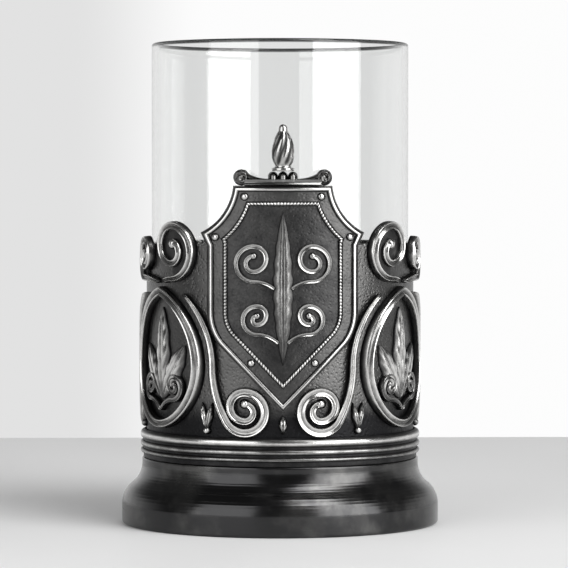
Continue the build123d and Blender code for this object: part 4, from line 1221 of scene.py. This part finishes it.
class HOLDER_OT_medallions(Operator):
    """Egg-shaped hollow frames on the two sides, each round a palmette of leaves and curls"""

    bl_idname = "holder.medallions"
    bl_label = "Medallions"

    def execute(self, context):
        o = context.scene.holder_ornament
        seat = seat_radius(context.scene)
        c = np.sin(np.linspace(-pi / 2, pi / 2, 25))
        height = rims(c, o.hollow)
        insets = o.frame_width / 2 * (1 + c)
        widths = (0.6, 1.0, 1.0, 0.9)
        for name, side in SIDES:
            azimuth = side * o.medallion_turn
            radii = seat + o.frame_rise * height
            rim = stacked(azimuth, egg_outline, insets, radii, height[None], closed=True)
            relief_piece(f"{name}_medallion_rim", [rim], f"{name}_medallion_frame")
            foot = (0.0, o.palmette_low)
            patches = []
            for lean in (-o.palmette_lean, o.palmette_lean, 0.0):
                reach = 1 / hypot(sin(lean) / o.palmette_side, cos(lean) / o.palmette_rise)
                width, rise = o.palmette_leaf, o.leaf_rise
                blade = leaf(azimuth, foot, lean, reach, width, seat, rise, o.vein, lobes=4, bulge=0.75)
                # Painted highlight together with rubbed polish: the leaves' relief is scaled up so that they
                # come out brighter
                patches.append(blade.rubbed(o.palmette_leaf_polish_and_highlight))
            for way in (-1, 1):
                start = (way * o.palmette_run, o.palmette_low)
                stalk = tangent_arc(start, (0.0, o.palmette_low - o.palmette_curl), (-way, 0))[::-1]
                path = join(stalk, half_turns(start, o.palmette_curl, o.palmette_step, way))
                band = ribbon(azimuth, path, o.palmette_ribbon / 2, seat, o.leaf_rise, o.hollow * 0.5, widths)
                eye = button(azimuth, path[-1], o.palmette_eye, seat, o.leaf_rise)
                patches += [curl.rubbed(o.palmette_curl_shine) for curl in (band, eye)]
            relief_piece(f"{name}_palmette", patches, f"{name}_medallion_palmette")
        return {"FINISHED"}


class HOLDER_OT_volutes(Operator):
    """Hollow ribbons wound to a domed eye above the medallions, on a dark back plate"""

    bl_idname = "holder.volutes"
    bl_label = "Volutes"

    def execute(self, context):
        o = context.scene.holder_ornament
        seat = seat_radius(context.scene)
        for name, side in SIDES:
            for place, azimuth, radius, step, climb in (
                ("front", o.volute_front, o.volute_radius, o.volute_step, -side),
                ("rear", o.volute_rear, o.rear_radius, o.rear_step, side),
            ):
                start = (0.0, o.volute_low)
                run = seat * abs(sin(azimuth - o.medallion_turn)) - (o.volute_gap + o.ribbon) / 2
                root = (-climb * run, o.volute_low - o.volute_drop)
                lead = tangent_arc(start, root, (-climb, 0), 16)[::-1]
                path = join(lead, half_turns(start, radius, step, climb, steps=40))
                widths = (0.6, 0.9, 1.0, 1.05, 1.0, 0.95, 0.8)
                band = ribbon(side * azimuth, path, o.ribbon / 2, seat, o.scroll_rise, o.hollow, widths)
                eye = path[-1] - (0.0, o.volute_eye / 2)
                bead = button(side * azimuth, eye, o.volute_eye, seat, o.scroll_rise)
                edge = half_turns(start, radius, step, climb, turns=2, steps=40)
                back = plate(side * azimuth, edge, seat, seat + o.volute_back, o.volute_ground)
                node = f"{name}_{place}_volute"
                relief_piece(f"{node}_ribbon", [back, band, bead], node)
        return {"FINISHED"}


class HOLDER_OT_scrolls(Operator):
    """Long hollow ribbons beside the shield, each curled inwards at its foot"""

    bl_idname = "holder.scrolls"
    bl_label = "Long scrolls"

    def execute(self, context):
        o = context.scene.holder_ornament
        seat = seat_radius(context.scene)
        a = np.linspace(o.entry_turn, 0.0, 16)
        entry_u, entry_z = o.entry_radius * np.sin(a), o.entry_radius * (1 - np.cos(a))
        widths = (0.4, 0.8, 0.95, 1.15, 1.2, 1.1, 0.85)
        for name, side in SIDES:
            for place, azimuth, way in (("front", 0.0, side), ("rear", 2 * side * o.medallion_turn, -side)):
                foot = (way * o.scroll_foot, o.scroll_low)
                waist = (way * o.scroll_waist, o.medallion_waist)
                stem = tangent_arc(waist, (way * o.scroll_end, o.scroll_high), (0, 1), 30)[::-1]
                entry = np.stack([foot[0] + way * entry_u, foot[1] + entry_z], axis=1)
                shank = tangent_arc(waist, entry[0], (0, -1), 30)
                turns = half_turns(foot, o.curl_radius, o.curl_step, -way, steps=34)
                path = join(stem, shank, entry, turns)
                band = ribbon(azimuth, path, o.ribbon / 2, seat, o.scroll_rise, o.scroll_hollow, widths)
                bead = button(azimuth, path[-1], o.curl_eye, seat, o.scroll_rise)
                node = f"{name}_{place}_scroll"
                relief_piece(f"{node}_ribbon", [band, bead], node)
        return {"FINISHED"}


class HOLDER_OT_darts(Operator):
    """Pairs of small pointed leaves above the collar"""

    bl_idname = "holder.darts"
    bl_label = "Small leaves"

    def execute(self, context):
        o = context.scene.holder_ornament
        seat = seat_radius(context.scene)
        for name, side in SIDES:
            for place, azimuth in (("front", o.dart_turn), ("rear", 2 * o.medallion_turn - o.dart_turn)):
                turned, foot = side * azimuth, (0.0, o.dart_low)
                patches = [
                    leaf(turned, foot, lean, o.dart_length, o.dart_width, seat, o.leaf_rise, o.vein, lobes=2)
                    for lean in (-o.dart_lean, o.dart_lean)
                ]
                patches.append(button(turned, foot, o.dart_hub, seat, o.leaf_rise))
                node = f"{name}_{place}_darts"
                relief_piece(f"{node}_leaves", patches, node)
        return {"FINISHED"}


def plate_outline(inset):
    """Closed outline of the handle's plate drawn in by an inset: a rectangle with a pointed foot."""
    h = bpy.context.scene.holder_handle
    half, slope = h.plate_half - inset, h.plate_tip / h.plate_half
    top, tip = HANDLE_PLATE_HIGH - inset, HANDLE_PLATE_LOW + inset * hypot(1, slope)
    side = tip + slope * half
    right = join(
        line((0.0, top), (half, top), 14),
        line((half, top), (half, side), 24),
        line((half, side), (0.0, tip), 16),
    )
    return both_sides(right)


# Border of the handle's plate, from its back edge to its field: inset and drop below the plate's top,
# both in millimetres, and relief. The first row lies on the wall.
PLATE_BORDER = np.array([
    (0.0, 0.0, 0.1), (0.0, 0.3, 0.6), (0.1, 0.09, 0.9), (0.3, 0.0, 0.9), (1.2, 0.0, 0.8), (1.5, 0.35, 0.2),
    (1.9, 0.35, 0.3),
])


class HOLDER_OT_handle(Operator):
    """Curved plate behind, the grooved strap bent into an ear, and the upswept thumb rest"""

    bl_idname = "holder.handle"
    bl_label = "Handle"

    def execute(self, context):
        h = context.scene.holder_handle
        seat = seat_radius(context.scene)
        insets, drops, relief = PLATE_BORDER.T
        insets, radii = insets * MM, PLATE_R - drops * MM
        radii[0] = seat
        patches = [stacked(pi, plate_outline, insets, radii, relief[None])]
        for inset, radius, tone in ((insets[-1], radii[-1], 0.4), (0.0, seat, 0.1)):
            edge = plate_outline(inset)
            middle = np.array([0.0, edge[:, 1].mean()])
            patches.append(fan(pi, edge, middle, np.linspace(1.0, 0.0, 20), radius, tone))
        make_piece("handle_back_plate", patches, metal("handle_metal"), "handle_plate")
        self.make_strap(h)
        self.make_thumb_rest(h)
        return {"FINISHED"}

    def make_strap(self, h):
        """Rounded flat section (a superellipse with two grooves on its outer face) carried along the
        ear's route; its two ends are cut to the round plate."""
        meets = PLATE_R + h.strap_gap
        elbow, belly, heel = (h.elbow_reach, h.upper), (h.belly_reach, h.belly), (h.heel_reach, h.lower)
        route = rounded_route(
            [(meets, h.upper), elbow, belly, heel, (meets, h.lower)],
            [h.elbow_radius, h.belly_radius, h.heel_radius],
        )
        normal = directions(route)[0]
        a = np.linspace(0.0, 2 * pi, 72, endpoint=False)
        x = h.strap_width / 2 * squared(np.cos(a), power=0.35)
        offset = np.abs(np.abs(x) - h.strap_width * h.groove_place) / h.groove_half
        cut = np.clip(1 - offset**2, 0, 1) * (np.sin(a) > 0.3)
        n = h.strap_thick / 2 * squared(np.sin(a), power=0.55) - h.groove * cut
        y = route[:, None, 0] + normal[:, None, 0] * n
        z = route[:, None, 1] + normal[:, None, 1] * n
        y[[0, -1]] = np.sqrt(meets**2 - x**2)
        points = np.stack(np.broadcast_arrays(x, y, z), axis=-1)
        relief = np.clip(0.75 + 0.25 * np.abs(np.cos(a)) - 0.6 * cut, 0, 1)[None]
        ends = [cap(points[end], relief=0.2) for end in (0, -1)]
        patches = [Patch(points, relief, wrap_columns=True), *ends]
        make_piece("handle_strap", patches, metal("handle_metal"), "handle_loop")

    def make_thumb_rest(self, h):
        """Tab that leaves the strap level and sweeps up along a circular arc; its rounded section is
        carried along, thin at its root and rolled at its end."""
        end = (HANDLE_REACH, THUMB_HIGH - h.thumb_thick)
        route = tangent_arc((THUMB_NEAR, THUMB_LOW), end, (1, 0), 60)
        normal, length = directions(route)
        t = length / length[-1]
        thick = h.thumb_thick * (0.5 + 0.5 * ease(t * 1.6))
        a = np.linspace(0.0, 2 * pi, 48, endpoint=False)
        tip = np.sqrt(np.clip(1 - np.clip((t - 0.86) / 0.14, 0, 1) ** 2.5, 0.0, 1))
        wide = h.thumb_width / 2 * (0.82 + 0.18 * ease(t * 1.5)) * (0.35 + 0.65 * tip)
        x = wide[:, None] * squared(np.cos(a), power=0.4)
        rib = 1 - 0.28 * (0.5 - 0.5 * np.cos(4 * pi * np.cos(a))) * (np.sin(a) > 0)
        n = thick[:, None] * (0.5 + 0.5 * squared(np.sin(a), power=0.6) * rib)
        y = np.minimum(route[:, None, 0] + normal[:, None, 0] * n, HANDLE_REACH)
        z = route[:, None, 1] + normal[:, None, 1] * n
        points = np.stack(np.broadcast_arrays(x, y, z), axis=-1)
        relief = np.clip(0.55 + 0.4 * rib * np.sin(a), 0.15, 1)[None]
        ends = [cap(points[end], relief=0.5) for end in (0, -1)]
        patches = [Patch(points, relief, wrap_columns=True), *ends]
        make_piece("thumb_rest_tab", patches, metal("handle_metal"), "handle_thumb_rest")


# Soft lights: name, place, height on the axis that each is aimed at, width and height, and watts
LIGHTS = (
    ("key_light", (0.684, -0.554, 0.4), 0.4, (0.75, 0.78), 8.3),
    ("side_light", (-0.6, -0.644, 0.4), 0.4, (0.75, 0.78), 3.7),
    ("top_light", (0.4, -0.5, 0.95), 0.05, (0.5, 0.5), 5.6),
)


# Parts of a unit direction between which the world's light changes: backwards, upwards and to the left
BEHIND_FROM, BEHIND_FULL = -0.05, 0.6
LEVEL_FULL, LEVEL_GONE = 0.15, 0.45
# Where the backdrop's painted shade on the left comes in
LEFT_FULL, LEFT_GONE = -0.045, 0.0


class HOLDER_OT_stage(Operator):
    """Pale table and background, soft lights and the camera"""

    bl_idname = "holder.stage"
    bl_label = "Stage"

    def execute(self, context):
        scene = context.scene
        s, finish = scene.holder_stage, scene.holder_finish
        scene.view_settings.view_transform = "Standard"
        self.make_floor(s, finish)
        self.make_world(scene, finish)
        for light in LIGHTS:
            self.make_light(*light)
        camera = bpy.data.objects.new("camera", bpy.data.cameras.new("camera"))
        scene.collection.objects.link(camera)
        camera.data.lens = s.lens
        camera.data.sensor_width = 36.0
        camera.data.clip_start, camera.data.clip_end = 0.05, 20.0
        across, ahead = cos(s.camera_turn), sin(s.camera_turn)
        right = np.array([across, ahead, 0.0])
        place = np.array([s.camera_distance * ahead, -s.camera_distance * across, s.camera_height])
        camera.location = place
        self.aim(camera, place, np.array([0.0, 0.0, s.aim_height]) + right * s.aim_right)
        scene.camera = camera
        return {"FINISHED"}

    def aim(self, thing, place, target):
        """Turns a camera or lamp at a place so that it looks at a target with its top upwards."""
        away = place - target
        thing.rotation_euler = (atan2(hypot(away[0], away[1]), away[2]), 0.0, atan2(away[0], -away[1]))

    def make_light(self, name, place, height, sizes, power):
        """Rectangular soft light aimed at a height on the holder's axis."""
        lamp = bpy.data.lights.new(name, "AREA")
        lamp.shape = "RECTANGLE"
        lamp.size, lamp.size_y = sizes
        lamp.energy = power
        thing = bpy.data.objects.new(name, lamp)
        bpy.context.scene.collection.objects.link(thing)
        thing.location = place
        self.aim(thing, np.array(place), np.array([0.0, 0.0, height]))

    def make_floor(self, s, finish):
        """Level table top, a grid of a few cells that ends behind the holder, faintly mottled."""
        x = np.linspace(-s.floor_half, s.floor_half, 5)[:, None]
        y = np.linspace(-s.floor_half, s.floor_back, 5)[None]
        points = np.stack(np.broadcast_arrays(x, y, np.float64(0.0)), axis=-1)
        grid = Patch(points, 0.0)
        mesh = bpy.data.meshes.new("table_top")
        mesh.from_pydata(points.reshape(-1, 3), [], grid.faces())
        material, tree, shader = new_material("table_paper")
        mottle = add_noise(tree, 9.0, 4.0, place_on_piece(tree))
        dark, light = ([min(1.0, v * part) for v in finish.floor] for part in (0.96, 1.04))
        tree.links.new(add_mix(tree, mottle, dark, light), shader.inputs["Base Color"])
        tree.links.new(add_range(tree, mottle, 0.3, 0.7, 0.5, 0.6), shader.inputs["Roughness"])
        mesh.materials.append(material)
        floor = bpy.data.objects.new("table_top", mesh)
        bpy.context.scene.collection.objects.link(floor)

    def make_world(self, scene, finish):
        """Pale background for the camera, painted darker towards the left as painted shade; metal and glass
        show it behind the holder, and a dimmer room in front and above; soft light for everything else."""
        world = bpy.data.worlds.new("studio")
        scene.world = world
        world.use_nodes = True
        tree = world.node_tree
        background = tree.nodes["Background"]
        ray = tree.nodes.new("ShaderNodeLightPath")
        split = tree.nodes.new("ShaderNodeSeparateXYZ")
        tree.links.new(tree.nodes.new("ShaderNodeTexCoord").outputs["Generated"], split.inputs["Vector"])
        behind = add_range(tree, split.outputs["Y"], BEHIND_FROM, BEHIND_FULL, 0.0, 1.0)
        level = add_range(tree, split.outputs["Z"], LEVEL_FULL, LEVEL_GONE, 1.0, 0.0)
        mirrored = add_mix(tree, add_math(tree, "MULTIPLY", behind, level), finish.room, finish.behind)
        shiny = add_math(tree, "MAXIMUM", ray.outputs["Is Glossy Ray"], ray.outputs["Is Transmission Ray"])
        lit = add_mix(tree, shiny, finish.fill, mirrored)
        # Painted shade: the backdrop that the camera sees darkens towards the left
        rightwards = add_range(tree, split.outputs["X"], LEFT_FULL, LEFT_GONE, 0.0, 1.0)
        pale = add_mix(tree, rightwards, finish.background_left_painted_shade, finish.background)
        seen = add_mix(tree, ray.outputs["Is Camera Ray"], lit, pale)
        tree.links.new(seen, background.inputs["Color"])


OPERATORS = (
    HOLDER_OT_stage,
    HOLDER_OT_glass,
    HOLDER_OT_foot,
    HOLDER_OT_inner_pieces,
    HOLDER_OT_collar,
    HOLDER_OT_wall,
    HOLDER_OT_shield,
    HOLDER_OT_spray,
    HOLDER_OT_rivets,
    HOLDER_OT_crest,
    HOLDER_OT_medallions,
    HOLDER_OT_volutes,
    HOLDER_OT_scrolls,
    HOLDER_OT_darts,
    HOLDER_OT_handle,
)


class HOLDER_PT_panel(Panel):
    """Lists the pieces and the values that they are built from"""

    bl_label = "Tea glass holder"
    bl_idname = "HOLDER_PT_panel"
    bl_space_type = "VIEW_3D"
    bl_region_type = "UI"
    bl_category = "Tea glass"

    def draw(self, context):
        for operator in OPERATORS:
            self.layout.operator(operator.bl_idname)
        for name, group in GROUPS.items():
            box = self.layout.box()
            for label in group.__annotations__:
                box.prop(getattr(context.scene, name), label)


def register():
    """Registers the values, the operators and the panel."""
    for name, group in GROUPS.items():
        bpy.utils.register_class(group)
        setattr(bpy.types.Scene, name, PointerProperty(type=group))
    for operator in OPERATORS:
        bpy.utils.register_class(operator)
    bpy.utils.register_class(HOLDER_PT_panel)


def unregister():
    """Takes away what register added."""
    bpy.utils.unregister_class(HOLDER_PT_panel)
    for operator in reversed(OPERATORS):
        bpy.utils.unregister_class(operator)
    for name, group in reversed(GROUPS.items()):
        delattr(bpy.types.Scene, name)
        bpy.utils.unregister_class(group)


def main():
    """Builds every piece in order."""
    register()
    for operator in OPERATORS:
        family, name = operator.bl_idname.split(".")
        getattr(getattr(bpy.ops, family), name)()


if __name__ == "__main__":
    main()
